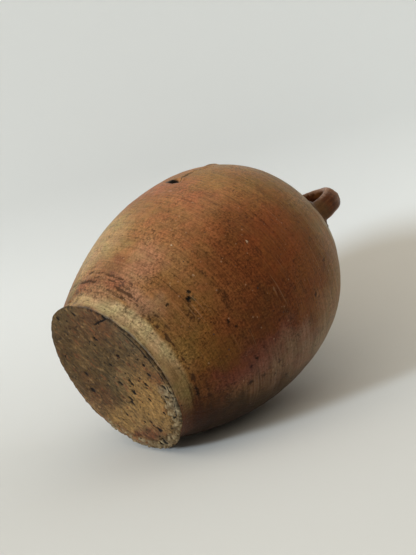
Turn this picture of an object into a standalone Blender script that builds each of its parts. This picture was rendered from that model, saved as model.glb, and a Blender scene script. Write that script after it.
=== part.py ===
"""A round stoneware jug, upright, its underside centred on the origin.

The jug is put together from its clay parts, as a potter builds one: a base slab, a wall thrown up ring
by ring (foot wall, lower belly, upper belly, shoulder), a neck, a rim, and a pulled strap handle with a
wad of soft clay pressed round each end. The handle is at +X and the mouth opens along +Z. Lengths are
in metres.
"""

import math

import bmesh
import bpy
import numpy as np
from mathutils import Euler, Vector
from mathutils.geometry import interpolate_bezier

MM = 0.001

# Overall height, and the fit between the clay parts
JUG_HEIGHT = 219 * MM
LUTING_GAP = 0.3 * MM

# Foot and base slab
FOOT_RADIUS = 59 * MM
FOOT_LIP = 3 * MM
FOOT_CHAMFER = 0.8 * MM
WAIST_RADIUS = 57.5 * MM
WAIST_HEIGHT = 6 * MM
BASE_THICKNESS = 9 * MM

# Walls, with the seams between their rings above and below the belly
BELLY_RADIUS = 90 * MM
BELLY_HEIGHT = 108 * MM
FOOT_WALL = 8 * MM
BELLY_WALL = 6 * MM
SHOULDER_WALL = 5.5 * MM
LOWER_SEAM_SHARE = 0.47
UPPER_SEAM_SHARE = 0.55

# Turned grooves above the pale foot band
BAND_HEIGHT = 21 * MM
GROOVE_PITCH = 5 * MM
GROOVE_WIDTH = 1.8 * MM
GROOVE_DEPTH = 0.6 * MM
GROOVE_COUNT = 2

# Neck and rim
NECK_RADIUS = 25 * MM
NECK_WALL = 6.5 * MM
NECK_HEIGHT = 9.4 * MM
NECK_FILLET = 4 * MM
NECK_FOOT_EDGE = 1 * MM
RIM_HEIGHT = 6 * MM
RIM_OVERHANG = 3 * MM
RIM_TOP_INSET = 0.5 * MM
RIM_LIP = 3 * MM

# Strap handle
ROOT_INSET = 26 * MM
ROOT_WIDTH = 23 * MM
ROOT_THICKNESS = 7.5 * MM
CROWN_RISE = 12 * MM
CROWN_REACH = 26 * MM
CROWN_WIDTH = 18 * MM
CROWN_THICKNESS = 7 * MM
NECK_END_RISE = 5.5 * MM
NECK_END_WIDTH = 21 * MM
NECK_END_THICKNESS = 6 * MM
LEG_LENGTH = 18 * MM
LEG_LEAN = 3.5 * MM
STRAP_OVERRUN = 6 * MM
STRAP_GROOVE = 0.9 * MM
STRAP_GROOVE_HALF_SHARE = 0.5
FALL_SHARE = 0.6
APPROACH_SHARE = 0.35
APPROACH_RISE_SHARE = 0.25

# Wads of clay round the strap's two ends: half sizes across, along and out of the wall
SHOULDER_WAD = (17 * MM, 12.5 * MM, 6.5 * MM)
NECK_WAD = (15.5 * MM, 7 * MM, 6.5 * MM)

# Bends of the outline, matched to the photographed side
LOWER_POWER = 1.92
SHOULDER_RISE_POWER = 2.5
SHOULDER_WIDTH_POWER = 1.65
STRAP_CORNER_POWER = 0.7

# How finely round shapes are divided
TURN_STEPS = 64
RING_STEPS = 5
SHOULDER_STEPS = 8
ARC_STEPS = 4
STRAP_STEPS = 10
SECTION_STEPS = 16
WAD_RINGS = 10
SMOOTH_BELOW = math.radians(35)
MERGE_DISTANCE = 0.001 * MM

# Places that follow from the sizes
RIM_SEAT = JUG_HEIGHT - RIM_HEIGHT
NECK_TOP = RIM_SEAT - LUTING_GAP
NECK_SEAT = NECK_TOP - NECK_HEIGHT
SHOULDER_TOP = NECK_SEAT - LUTING_GAP
SHOULDER_TOP_RADIUS = NECK_RADIUS + NECK_FILLET
BORE_RADIUS = NECK_RADIUS - NECK_WALL
FLOOR_HEIGHT = BASE_THICKNESS + LUTING_GAP
LOWER_SEAM = FLOOR_HEIGHT + LOWER_SEAM_SHARE * (BELLY_HEIGHT - FLOOR_HEIGHT)
UPPER_SEAM = BELLY_HEIGHT + UPPER_SEAM_SHARE * (SHOULDER_TOP - BELLY_HEIGHT)
ROOT_RADIUS = BELLY_RADIUS - ROOT_INSET
QUARTER_TURN = math.pi / 2


def clear_scene():
    for old in list(bpy.data.objects):
        bpy.data.objects.remove(old, do_unlink=True)


def clay(name, colour, roughness):
    material = bpy.data.materials.new(name)
    material.use_nodes = True
    shader = material.node_tree.nodes["Principled BSDF"]
    shader.inputs["Base Color"].default_value = (*colour, 1)
    shader.inputs["Roughness"].default_value = roughness
    shader.inputs["Metallic"].default_value = 0
    return material


def finished(name, bm, material, holder):
    """The mesh as an object of the jug, closed, facing out and smooth where it is round."""
    bmesh.ops.remove_doubles(bm, verts=bm.verts, dist=MERGE_DISTANCE)
    bmesh.ops.recalc_face_normals(bm, faces=bm.faces)
    mesh = bpy.data.meshes.new(name)
    bm.to_mesh(mesh)
    bm.free()
    mesh.materials.append(material)
    mesh.shade_smooth()
    mesh.set_sharp_from_angle(angle=SMOOTH_BELOW)
    piece = bpy.data.objects.new(name, mesh)
    bpy.context.scene.collection.objects.link(piece)
    piece.parent = holder
    return piece


def as_cutter(piece):
    piece.hide_render = True
    piece.display_type = "WIRE"
    return piece


def cut(piece, cutter):
    boolean = piece.modifiers.new("cut by " + cutter.name, "BOOLEAN")
    boolean.operation = "DIFFERENCE"
    boolean.solver = "EXACT"
    boolean.object = cutter


def turned(name, outline, material, holder, closed=True):
    """Spins an outline of (radius, height) points round Z. An open outline ends on the axis."""
    bm = bmesh.new()
    corners = [bm.verts.new((radius, 0, height)) for radius, height in outline]
    pairs = list(zip(corners, corners[1:]))
    if closed:
        pairs.append((corners[-1], corners[0]))
    edges = [bm.edges.new(pair) for pair in pairs]
    bmesh.ops.spin(
        bm,
        geom=corners + edges,
        cent=(0, 0, 0),
        axis=(0, 0, 1),
        angle=2 * math.pi,
        steps=TURN_STEPS,
        use_merge=True,
        use_duplicate=False,
    )
    return finished(name, bm, material, holder)


def arc(centre, radii, start, end):
    """Points on an ellipse, by angle from +radius towards +height."""
    return [
        (centre[0] + radii[0] * math.cos(angle), centre[1] + radii[1] * math.sin(angle))
        for angle in np.linspace(start, end, ARC_STEPS + 1)
    ]


def wall_radius(height, foot, belly, top):
    """Radius of a wall that swells from its foot to the belly and closes in to its top."""
    if height <= belly[1]:
        left_share = (belly[1] - height) / (belly[1] - foot[1])
        return belly[0] - (belly[0] - foot[0]) * left_share**LOWER_POWER
    rise_share = min((height - belly[1]) / (top[1] - belly[1]), 1)
    width_share = (1 - rise_share**SHOULDER_RISE_POWER) ** (1 / SHOULDER_WIDTH_POWER)
    return top[0] + (belly[0] - top[0]) * width_share


def outer_radius(height):
    """Outside radius of the walls, and of the slab's edge above the waist."""
    return wall_radius(
        height,
        (WAIST_RADIUS, WAIST_HEIGHT),
        (BELLY_RADIUS, BELLY_HEIGHT),
        (SHOULDER_TOP_RADIUS, SHOULDER_TOP),
    )


def inner_radius(height):
    """Inside radius of the walls."""
    return wall_radius(
        height,
        (outer_radius(FLOOR_HEIGHT) - FOOT_WALL, FLOOR_HEIGHT),
        (BELLY_RADIUS - BELLY_WALL, BELLY_HEIGHT),
        (BORE_RADIUS, SHOULDER_TOP - SHOULDER_WALL),
    )


def eased_heights(low, high):
    """Heights that lie closer together towards the top, where the shoulder turns in."""
    return low + (high - low) * np.sin(np.linspace(0, QUARTER_TURN, SHOULDER_STEPS + 1))


def side(radius_at, heights):
    return [(radius_at(height), height) for height in heights]


def base_slab(material, holder):
    outline = [
        (0, 0),
        (FOOT_RADIUS - FOOT_CHAMFER, 0),
        (FOOT_RADIUS, FOOT_CHAMFER),
        (FOOT_RADIUS, FOOT_LIP),
        (WAIST_RADIUS, WAIST_HEIGHT),
        (outer_radius(BASE_THICKNESS), BASE_THICKNESS),
        (0, BASE_THICKNESS),
    ]
    return turned("base_slab", outline, material, holder, closed=False)


def groove(height):
    """The three outline points of one turned groove, from its lower edge to its upper one."""
    edges = (height - GROOVE_WIDTH / 2, height, height + GROOVE_WIDTH / 2)
    depths = (0, GROOVE_DEPTH, 0)
    return [(outer_radius(edge) - depth, edge) for edge, depth in zip(edges, depths)]


def foot_wall(material, holder):
    heights = np.linspace(FLOOR_HEIGHT, LOWER_SEAM, RING_STEPS + 1)
    outside = side(outer_radius, heights)
    for turn in range(GROOVE_COUNT):
        middle = BAND_HEIGHT + turn * GROOVE_PITCH
        outside = [point for point in outside if abs(point[1] - middle) > GROOVE_WIDTH]
        outside += groove(middle)
    outside.sort(key=lambda point: point[1])
    inside = side(inner_radius, heights[::-1])
    return turned("foot_wall", outside + inside, material, holder)


def belly_ring(name, low, high, material, holder):
    """One ring of the wall between two seams, with the luting gap under it."""
    heights = np.linspace(low + LUTING_GAP, high, RING_STEPS + 1)
    outline = side(outer_radius, heights) + side(inner_radius, heights[::-1])
    return turned(name, outline, material, holder)


def shoulder(material, holder):
    low = UPPER_SEAM + LUTING_GAP
    outside = side(outer_radius, eased_heights(low, SHOULDER_TOP))
    inside = side(inner_radius, eased_heights(low, SHOULDER_TOP - SHOULDER_WALL)[::-1])
    return turned("shoulder", outside + [(BORE_RADIUS, SHOULDER_TOP)] + inside, material, holder)


def neck_outline():
    """The outside of the neck: a short edge, a hollow curve and a straight collar."""
    hollow = arc(
        (NECK_RADIUS + NECK_FILLET, NECK_SEAT + NECK_FOOT_EDGE + NECK_FILLET),
        (NECK_FILLET, NECK_FILLET),
        3 * QUARTER_TURN,
        2 * QUARTER_TURN,
    )
    return [(SHOULDER_TOP_RADIUS, NECK_SEAT)] + hollow + [(NECK_RADIUS, NECK_TOP)]


def neck(material, holder):
    bore = [(BORE_RADIUS, NECK_TOP), (BORE_RADIUS, NECK_SEAT)]
    return turned("neck", neck_outline() + bore, material, holder)


def rim_outline():
    """The outside of the rim: a rolled bead that overhangs the neck."""
    middle = RIM_SEAT + RIM_HEIGHT / 2
    under = arc((NECK_RADIUS, middle), (RIM_OVERHANG, RIM_HEIGHT / 2), -QUARTER_TURN, 0)
    over_width = RIM_OVERHANG + RIM_TOP_INSET
    over = arc((NECK_RADIUS - RIM_TOP_INSET, middle), (over_width, RIM_HEIGHT / 2), 0, QUARTER_TURN)
    return under + over[1:]


def rim(material, holder):
    lip_centre = (BORE_RADIUS + RIM_LIP, JUG_HEIGHT - RIM_LIP)
    lip = arc(lip_centre, (RIM_LIP, RIM_LIP), QUARTER_TURN, 2 * QUARTER_TURN)
    return turned("rim", rim_outline() + lip + [(BORE_RADIUS, RIM_SEAT)], material, holder)


def grown(points, by):
    """An outline moved outwards by a clearance, at right angles to itself."""
    run = np.array(points)
    along = np.gradient(run, axis=0)
    along /= np.linalg.norm(along, axis=1)[:, None]
    outward = np.stack([along[:, 1], -along[:, 0]], axis=1)
    return [tuple(point) for point in run + by * outward]


def body_envelope(material, holder):
    """A solid as big as the shoulder, neck and rim with the luting gap round them."""
    shoulder_side = side(outer_radius, eased_heights(UPPER_SEAM, SHOULDER_TOP))
    skin = grown(shoulder_side + neck_outline()[1:] + rim_outline()[1:], LUTING_GAP)
    outline = [(0, UPPER_SEAM), (skin[0][0], UPPER_SEAM)] + skin[1:] + [(0, skin[-1][1])]
    return as_cutter(turned("body_envelope", outline, material, holder, closed=False))


def shoulder_height(radius):
    """Height of the shoulder's outside where it has this radius."""
    radii, heights = zip(*side(outer_radius, eased_heights(BELLY_HEIGHT, SHOULDER_TOP)[::-1]))
    return float(np.interp(radius, radii, heights))


def strap_path():
    """Points up the leg of the handle, over its crown and in to the neck, as (radius, height)."""
    root_height = shoulder_height(ROOT_RADIUS)
    crown_height = SHOULDER_TOP + CROWN_RISE
    root = Vector((ROOT_RADIUS, root_height))
    leg = Vector((ROOT_RADIUS + LEG_LEAN, root_height + LEG_LENGTH))
    bend = Vector((ROOT_RADIUS + LEG_LEAN / 2, crown_height))
    crown = Vector((NECK_RADIUS + CROWN_REACH, crown_height))
    fall = Vector((NECK_RADIUS + FALL_SHARE * CROWN_REACH, crown_height))
    end = Vector((NECK_RADIUS, SHOULDER_TOP + NECK_END_RISE))
    approach = Vector(
        (
            NECK_RADIUS + APPROACH_SHARE * CROWN_REACH,
            end.y + APPROACH_RISE_SHARE * (crown_height - end.y),
        )
    )
    rising = interpolate_bezier(root, leg, bend, crown, STRAP_STEPS)
    falling = interpolate_bezier(crown, fall, approach, end, STRAP_STEPS)
    path = [Vector(point) for point in rising] + [Vector(point) for point in falling[1:]]
    before = path[0] - STRAP_OVERRUN * (path[1] - path[0]).normalized()
    after = path[-1] + STRAP_OVERRUN * (path[-1] - path[-2]).normalized()
    return np.array([before] + path + [after])


def strap_section(width, thickness):
    """Points round the strap: flat, with round edges and a drawn groove along its outer face."""
    section = []
    for angle in np.linspace(0, 2 * math.pi, SECTION_STEPS, endpoint=False):
        across_share = math.copysign(abs(math.cos(angle)) ** STRAP_CORNER_POWER, math.cos(angle))
        out_share = math.copysign(abs(math.sin(angle)) ** STRAP_CORNER_POWER, math.sin(angle))
        middle_share = max(0, 1 - abs(across_share) / STRAP_GROOVE_HALF_SHARE)
        dip = STRAP_GROOVE * max(0, out_share) * middle_share
        section.append((width / 2 * across_share, thickness / 2 * out_share - dip))
    return section


def strap(name, material, holder, clearance=0):
    path = strap_path()
    along = np.gradient(path, axis=0)
    along /= np.linalg.norm(along, axis=1)[:, None]
    outward = np.stack([along[:, 1], -along[:, 0]], axis=1)
    run = np.concatenate([[0], np.cumsum(np.linalg.norm(np.diff(path, axis=0), axis=1))])
    stations = (run[0], run[STRAP_STEPS], run[-1])
    widths = np.interp(run, stations, (ROOT_WIDTH, CROWN_WIDTH, NECK_END_WIDTH)) + 2 * clearance
    thicknesses = np.interp(run, stations, (ROOT_THICKNESS, CROWN_THICKNESS, NECK_END_THICKNESS))
    bm = bmesh.new()
    rings = []
    for centre, out, width, thickness in zip(path, outward, widths, thicknesses + 2 * clearance):
        ring = []
        for across, off in strap_section(width, thickness):
            spot = centre + off * out
            ring.append(bm.verts.new((spot[0], across, spot[1])))
        rings.append(ring)
    for ring, following in zip(rings, rings[1:]):
        for here in range(SECTION_STEPS):
            there = (here + 1) % SECTION_STEPS
            bm.faces.new((ring[here], ring[there], following[there], following[here]))
    bm.faces.new(rings[0])
    bm.faces.new(rings[-1])
    return finished(name, bm, material, holder)


def wad(name, half_sizes, place, tilt, material, holder):
    """A pressed lump of clay: across along Y, then along and out of the wall that it sits on."""
    across, along, out = half_sizes
    bm = bmesh.new()
    bmesh.ops.create_uvsphere(bm, u_segments=2 * WAD_RINGS, v_segments=WAD_RINGS, radius=1)
    bmesh.ops.scale(bm, vec=(out, across, along), verts=bm.verts)
    piece = finished(name, bm, material, holder)
    piece.location = (place[0], 0, place[1])
    piece.rotation_euler = Euler((0, -tilt, 0))
    return piece


def shoulder_tilt():
    """Angle of the shoulder's outward normal above the horizontal, at the strap's root."""
    step = ROOT_WIDTH / 2
    fall = shoulder_height(ROOT_RADIUS - step) - shoulder_height(ROOT_RADIUS + step)
    return math.atan2(2 * step, fall)


def build():
    clear_scene()
    jug = bpy.data.objects.new("jug", None)
    bpy.context.scene.collection.objects.link(jug)
    glazed = clay("salt_glazed_brown_clay", (0.205, 0.082, 0.034), 0.38)
    bare = clay("bare_fired_clay", (0.127, 0.071, 0.030), 0.9)
    handle = clay("glazed_red_clay", (0.114, 0.034, 0.014), 0.28)

    base_slab(bare, jug)
    foot_wall(glazed, jug)
    belly_ring("lower_belly", LOWER_SEAM, BELLY_HEIGHT, glazed, jug)
    belly_ring("upper_belly", BELLY_HEIGHT, UPPER_SEAM, glazed, jug)
    shoulder(glazed, jug)
    neck(glazed, jug)
    rim(glazed, jug)

    envelope = body_envelope(bare, jug)
    strap_room = as_cutter(strap("strap_room", bare, jug, clearance=LUTING_GAP))
    cut(strap("handle_strap", handle, jug), envelope)
    root = (ROOT_RADIUS, shoulder_height(ROOT_RADIUS))
    neck_end = (NECK_RADIUS, SHOULDER_TOP + NECK_END_RISE)
    wads = (
        wad("handle_shoulder_wad", SHOULDER_WAD, root, shoulder_tilt(), handle, jug),
        wad("handle_neck_wad", NECK_WAD, neck_end, 0, handle, jug),
    )
    for piece in wads:
        cut(piece, envelope)
        cut(piece, strap_room)


build()
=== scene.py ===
"""Looks of the round jug: salt-glazed stoneware, lying on a pale floor with its cut base to the camera.

The jug's frame is upright, +Z up its turning axis and +X towards the handle, so the camera, the floor
and the lamp are turned round the jug. Lengths are in metres, and MM turns millimetres into them.
"""

import math

import bmesh
import bpy
import numpy as np
from mathutils import Matrix, Vector, noise


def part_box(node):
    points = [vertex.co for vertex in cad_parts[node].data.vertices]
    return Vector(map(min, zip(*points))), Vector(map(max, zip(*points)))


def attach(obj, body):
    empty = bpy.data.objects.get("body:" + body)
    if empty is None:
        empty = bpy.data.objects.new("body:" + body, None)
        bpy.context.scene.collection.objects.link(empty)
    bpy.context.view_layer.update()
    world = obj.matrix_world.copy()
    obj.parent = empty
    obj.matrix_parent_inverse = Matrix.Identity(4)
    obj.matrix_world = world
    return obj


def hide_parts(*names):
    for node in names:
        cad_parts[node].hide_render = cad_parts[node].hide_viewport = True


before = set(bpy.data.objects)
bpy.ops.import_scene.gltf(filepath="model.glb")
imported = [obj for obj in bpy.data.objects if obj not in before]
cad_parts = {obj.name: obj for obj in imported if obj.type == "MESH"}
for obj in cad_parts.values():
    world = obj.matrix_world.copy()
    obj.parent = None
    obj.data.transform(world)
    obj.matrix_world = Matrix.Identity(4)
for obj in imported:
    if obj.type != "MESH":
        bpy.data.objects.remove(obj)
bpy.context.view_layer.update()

MM = 0.001
UP = Vector((0, 0, 1))


# Where the camera stands, fitted to the outline of the body and of the base in the photograph
LENS = 49.95
SENSOR = 36.0
HANDLE_TURN = math.radians(-5)
AXIS_RISE = math.radians(35.37)
AXIS_LEAN = math.radians(48.96)
BASE_AHEAD = 522.1 * MM
BASE_LEFT = 64.3 * MM
BASE_BELOW = 69.0 * MM

# How the jug lies: the turn from the handle at which it rests on its belly and on the edge of its base,
# and how far its axis leans from the floor
REST_TURN = math.radians(108)
REST_TILT = math.radians(17.5)

# The floor, which bends up into a backdrop close behind the jug
FLOOR_NEAR = 1.8
FLOOR_FAR = 0.03
FLOOR_HALF_WIDTH = 2.6
SWEEP_RADIUS = 0.2
SWEEP_HEIGHT = 2.0
SWEEP_STEPS = 32

# The lamp, a sun low over the floor, and the soft light of the room. That light is brightest beside the
# lamp, SKY_AWAY behind the jug and SKY_HIGH over it, and dims and warms over two ranges of facing
KEY_HEADING = math.radians(34)
KEY_RISE = math.radians(21.5)
KEY_DISTANCE = 1.5
KEY_SPREAD = math.radians(11)
KEY_POWER = 2.15
KEY_COLOUR = (0.82, 0.98, 1.14)
SKY_AWAY = 0.55
SKY_HIGH = 1.6
SKY_FADE = (-0.5, 0.9)
ROOM_FADE = (-0.8, 0.5)
SKY_BRIGHT = 1.36
SKY_DIM = 0.04
SKY_COLOUR = (1.0, 0.91, 0.78)
ROOM_COLOUR = (1.0, 0.80, 0.58)
BACKDROP_COLOUR = (0.69, 0.70, 0.67)
FLOOR_COLOUR = (0.63, 0.63, 0.605)
FLOOR_COLOUR_HIGH = (0.725, 0.73, 0.705)
FLOOR_FADE = 0.12

# The thrown wall. Its reach comes from the frame, and the bends are those of the CAD outline
FOOT_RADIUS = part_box("base_slab")[1].x
BASE_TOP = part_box("foot_wall")[0].z
BELLY_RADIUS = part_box("lower_belly")[1].x
BELLY_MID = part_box("lower_belly")[1].z
SHOULDER_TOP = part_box("shoulder")[1].z
NECK_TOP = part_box("neck")[1].z
RIM_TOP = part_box("rim")[1].z
RIM_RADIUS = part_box("rim")[1].x
WAIST_RADIUS = 57.5 * MM
WAIST_HEIGHT = 6 * MM
NECK_RADIUS = 25 * MM
NECK_FILLET = 4 * MM
BORE_RADIUS = 18.5 * MM
FOOT_WALL = 8 * MM
BELLY_WALL = 6 * MM
SHOULDER_WALL = 5.5 * MM
LOWER_POWER = 1.92
RISE_POWER = 2.5
WIDTH_POWER = 1.65
SLAB_TOP = 2.3 * MM
SLAB_HOLD = 52 * MM
TURN_STEPS = 360
SEAM_WELD = 0.02 * MM
BAND_START = 9 * MM
BAND_TOP = 32 * MM

# How many rings of points the wall has along each stretch of its outline
FOOT_ROWS, BAND_ROWS, BODY_ROWS, NECK_ROWS, RIM_ROWS = 14, 34, 128, 10, 12
BORE_ROWS, INSIDE_ROWS, FLOOR_ROWS, UNDER_ROWS = 10, 34, 8, 4


class Nodes:
    """Adds nodes to a shader or geometry tree, and feeds their sockets with values or other sockets."""

    def __init__(self, tree):
        self.tree = tree

    def add(self, kind, feeds=None, **settings):
        made = self.tree.nodes.new(kind)
        for name, value in settings.items():
            setattr(made, name, value)
        self.fill(made, feeds or {})
        return made

    def fill(self, node, feeds):
        for name, value in feeds.items():
            self.feed(node.inputs[name], value)

    def feed(self, socket, value):
        if isinstance(value, bpy.types.NodeSocket):
            self.tree.links.new(value, socket)
        else:
            socket.default_value = value

    def math(self, operation, *values, clamp=False):
        made = self.add("ShaderNodeMath", dict(enumerate(values)), operation=operation, use_clamp=clamp)
        return made.outputs[0]

    def plus(self, first, second):
        return self.math("ADD", first, second)

    def less(self, first, second):
        return self.math("SUBTRACT", first, second)

    def times(self, first, second):
        return self.math("MULTIPLY", first, second)

    def over(self, first, second):
        return self.math("DIVIDE", first, second)

    def vector(self, operation, first, second=None, scale=None):
        feeds = {0: first}
        if second is not None:
            feeds[1] = second
        if scale is not None:
            feeds["Scale"] = scale
        made = self.add("ShaderNodeVectorMath", feeds, operation=operation)
        return made.outputs["Value" if operation == "DOT_PRODUCT" else 0]

    def split(self, place):
        return self.add("ShaderNodeSeparateXYZ", {0: place}).outputs

    def remap(self, value, low, high, low_to=0.0, high_to=1.0):
        feeds = {"Value": value, 1: low, 2: high, 3: low_to, 4: high_to}
        return self.add("ShaderNodeMapRange", feeds, interpolation_type="SMOOTHSTEP").outputs[0]

    def ramped(self, mask, *ramps):
        """The mask times a smooth ramp of each value, given by two limits and what they turn into."""
        for value, *limits in ramps:
            mask = self.times(mask, self.remap(value, *limits))
        return mask

    def noise(self, place, scale, detail=2.0, roughness=0.5, output="Fac"):
        feeds = {"Vector": place, "Scale": scale, "Detail": detail, "Roughness": roughness}
        return self.add("ShaderNodeTexNoise", feeds).outputs[output]

    def wave(self, place, scale, **look):
        """Noise that swings to both sides of 0."""
        return self.less(self.noise(place, scale, **look), 0.5)

    def mix(self, share, first, second, blend="MIX"):
        feeds = {0: share, 6: first, 7: second}
        made = self.add("ShaderNodeMix", feeds, data_type="RGBA", blend_type=blend)
        return made.outputs[2]

    def coated(self, colour, *coats):
        """The colour under coats: where each lies, how strong it is, and its tone from 0 to 255."""
        for mask, share, tone in coats:
            colour = self.mix(self.times(mask, share), colour, srgb(*tone))
        return colour

    def group(self, tree, feeds):
        kind = "ShaderNodeGroup" if tree.bl_idname == "ShaderNodeTree" else "GeometryNodeGroup"
        return self.add(kind, feeds, node_tree=tree).outputs


# The kind of socket that goes with the type of a default
SOCKET_KINDS = {float: "Float", int: "Int", tuple: "Vector"}


def new_group(name, tree_kind, takes, gives):
    """An empty node group, with its input and output sockets. Inputs are named with their defaults, or
    with their kinds where they have none, and outputs with their kinds."""
    tree = bpy.data.node_groups.new(name, tree_kind)
    for socket, start in takes.items():
        kind = SOCKET_KINDS.get(type(start), start)
        made = tree.interface.new_socket(socket, in_out="INPUT", socket_type="NodeSocket" + kind)
        if kind is not start:
            made.default_value = start
    for socket, kind in gives.items():
        tree.interface.new_socket(socket, in_out="OUTPUT", socket_type="NodeSocket" + kind)
    nodes = Nodes(tree)
    return tree, nodes, nodes.add("NodeGroupInput").outputs, nodes.add("NodeGroupOutput").inputs


def srgb(red, green, blue):
    """A colour given from 0 to 255, as the linear colour that a shader takes."""
    parts = [part / 255 for part in (red, green, blue)]
    linear = [((part + 0.055) / 1.055) ** 2.4 if part > 10 / 255 else part / 12.92 for part in parts]
    return (*linear, 1.0)


def placed(name, data):
    """A new object of the scene that shows the data."""
    made = bpy.data.objects.new(name, data)
    bpy.context.scene.collection.objects.link(made)
    return made


def mark_points(mesh, name, values):
    """Gives each point of the mesh a number under a name that the node trees read."""
    made = mesh.attributes.new(name, "FLOAT", "POINT")
    made.data.foreach_set("value", np.asarray(values, np.float32))


# Directions of the photograph's view in the jug's frame


def camera_axes():
    """The camera's right, up and forward directions, in the jug's frame."""
    level = Vector((math.cos(HANDLE_TURN), math.sin(HANDLE_TURN), 0))
    forward = -math.cos(AXIS_RISE) * level + math.sin(AXIS_RISE) * UP
    along = (UP - UP.dot(forward) * forward).normalized()
    across = forward.cross(along)
    right = across * math.cos(AXIS_LEAN) + along * math.sin(AXIS_LEAN)
    up = along * math.cos(AXIS_LEAN) - across * math.sin(AXIS_LEAN)
    return right, up, forward


RIGHT, ABOVE, FORWARD = camera_axes()
REST_SIDE = Vector((math.cos(REST_TURN), math.sin(REST_TURN), 0))
FLOOR_UP = UP * math.sin(REST_TILT) - REST_SIDE * math.cos(REST_TILT)
FLOOR_RIGHT = (RIGHT - RIGHT.dot(FLOOR_UP) * FLOOR_UP).normalized()
FLOOR_AWAY = FLOOR_UP.cross(FLOOR_RIGHT)


def make_camera():
    data = bpy.data.cameras.new("camera")
    data.lens = LENS
    data.sensor_width = SENSOR
    camera = placed("camera", data)
    place = RIGHT * BASE_LEFT + ABOVE * BASE_BELOW - FORWARD * BASE_AHEAD
    turn = Matrix((RIGHT, ABOVE, -FORWARD)).transposed().to_4x4()
    camera.matrix_world = Matrix.Translation(place) @ turn
    bpy.context.scene.camera = camera


def resting_point(body, *others):
    """The lowest point of the body as it lies, brought down to the level of the lowest of all pieces."""
    touch = min((corner.co for corner in body.data.vertices), key=lambda corner: corner.dot(FLOOR_UP))
    levels = [corner.co.dot(FLOOR_UP) for piece in (body, *others) for corner in piece.data.vertices]
    return touch + FLOOR_UP * (min(levels) - touch.dot(FLOOR_UP))


def floor_material(touch):
    """Pale matte paper, a little paler where it rises behind the jug, and clear from behind."""
    material = bpy.data.materials.new("pale floor")
    material.use_nodes = True
    nodes = Nodes(material.node_tree)
    material.node_tree.nodes.clear()
    place = nodes.add("ShaderNodeTexCoord").outputs["Object"]
    rise = nodes.vector("DOT_PRODUCT", nodes.vector("SUBTRACT", place, touch), FLOOR_UP)
    colour = nodes.mix(nodes.remap(rise, 0.0, FLOOR_FADE), (*FLOOR_COLOUR, 1), (*FLOOR_COLOUR_HIGH, 1))
    matte = nodes.add("ShaderNodeBsdfDiffuse", {"Color": colour})
    clear = nodes.add("ShaderNodeBsdfTransparent")
    back = nodes.add("ShaderNodeNewGeometry").outputs["Backfacing"]
    shown = nodes.add("ShaderNodeMixShader", {0: back, 1: matte.outputs[0], 2: clear.outputs[0]})
    nodes.add("ShaderNodeOutputMaterial", {"Surface": shown.outputs[0]})
    return material


def make_floor(touch):
    """A level floor under the lying jug that bends up into a backdrop behind it."""
    section = [(-FLOOR_NEAR, 0.0), (FLOOR_FAR, 0.0)]
    for step in range(1, SWEEP_STEPS + 1):
        bend = math.radians(90) * step / SWEEP_STEPS
        section.append((FLOOR_FAR + SWEEP_RADIUS * math.sin(bend), SWEEP_RADIUS * (1 - math.cos(bend))))
    section.append((FLOOR_FAR + SWEEP_RADIUS, SWEEP_HEIGHT))
    corners = []
    for away, rise in section:
        for side in (-FLOOR_HALF_WIDTH, FLOOR_HALF_WIDTH):
            corners.append(touch + FLOOR_RIGHT * side + FLOOR_AWAY * away + FLOOR_UP * rise)
    faces = [(2 * k, 2 * k + 1, 2 * k + 3, 2 * k + 2) for k in range(len(section) - 1)]
    mesh = bpy.data.meshes.new("floor")
    mesh.from_pydata(corners, [], faces)
    mesh.shade_smooth()
    mesh.materials.append(floor_material(touch))
    floor = placed("floor", mesh)


def make_lamp(touch):
    data = bpy.data.lights.new("key", "SUN")
    data.angle = KEY_SPREAD
    data.energy = KEY_POWER
    data.color = KEY_COLOUR
    key = placed("key", data)
    heading = FLOOR_RIGHT * math.cos(KEY_HEADING) + FLOOR_AWAY * math.sin(KEY_HEADING)
    towards = -heading * math.cos(KEY_RISE) + FLOOR_UP * math.sin(KEY_RISE)
    key.location = touch + towards * KEY_DISTANCE
    key.rotation_mode = "QUATERNION"
    key.rotation_quaternion = towards.to_track_quat("Z", "Y")


def make_world():
    """Soft light, brightest over the lamp's side and dimmer towards the room behind the camera, and a
    plain pale backdrop where the camera sees past the floor."""
    world = bpy.data.worlds.new("studio")
    bpy.context.scene.world = world
    world.use_nodes = True
    nodes = Nodes(world.node_tree)
    world.node_tree.nodes.clear()
    side = -FLOOR_RIGHT * math.cos(KEY_HEADING) + FLOOR_AWAY * SKY_AWAY + FLOOR_UP * SKY_HIGH
    heading = nodes.add("ShaderNodeTexCoord").outputs["Generated"]
    facing = nodes.vector("DOT_PRODUCT", heading, side.normalized())
    strength = nodes.remap(facing, *SKY_FADE, SKY_DIM, SKY_BRIGHT)
    colour = nodes.mix(nodes.remap(facing, *ROOM_FADE), (*ROOM_COLOUR, 1), (*SKY_COLOUR, 1))
    light = nodes.add("ShaderNodeBackground", {"Color": colour, "Strength": strength})
    backdrop = nodes.add("ShaderNodeBackground", {"Color": (*BACKDROP_COLOUR, 1)})
    seen = nodes.add("ShaderNodeLightPath").outputs["Is Camera Ray"]
    both = nodes.add("ShaderNodeMixShader", {0: seen, 1: light.outputs[0], 2: backdrop.outputs[0]})
    nodes.add("ShaderNodeOutputWorld", {"Surface": both.outputs[0]})


# The outline of the wall


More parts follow.
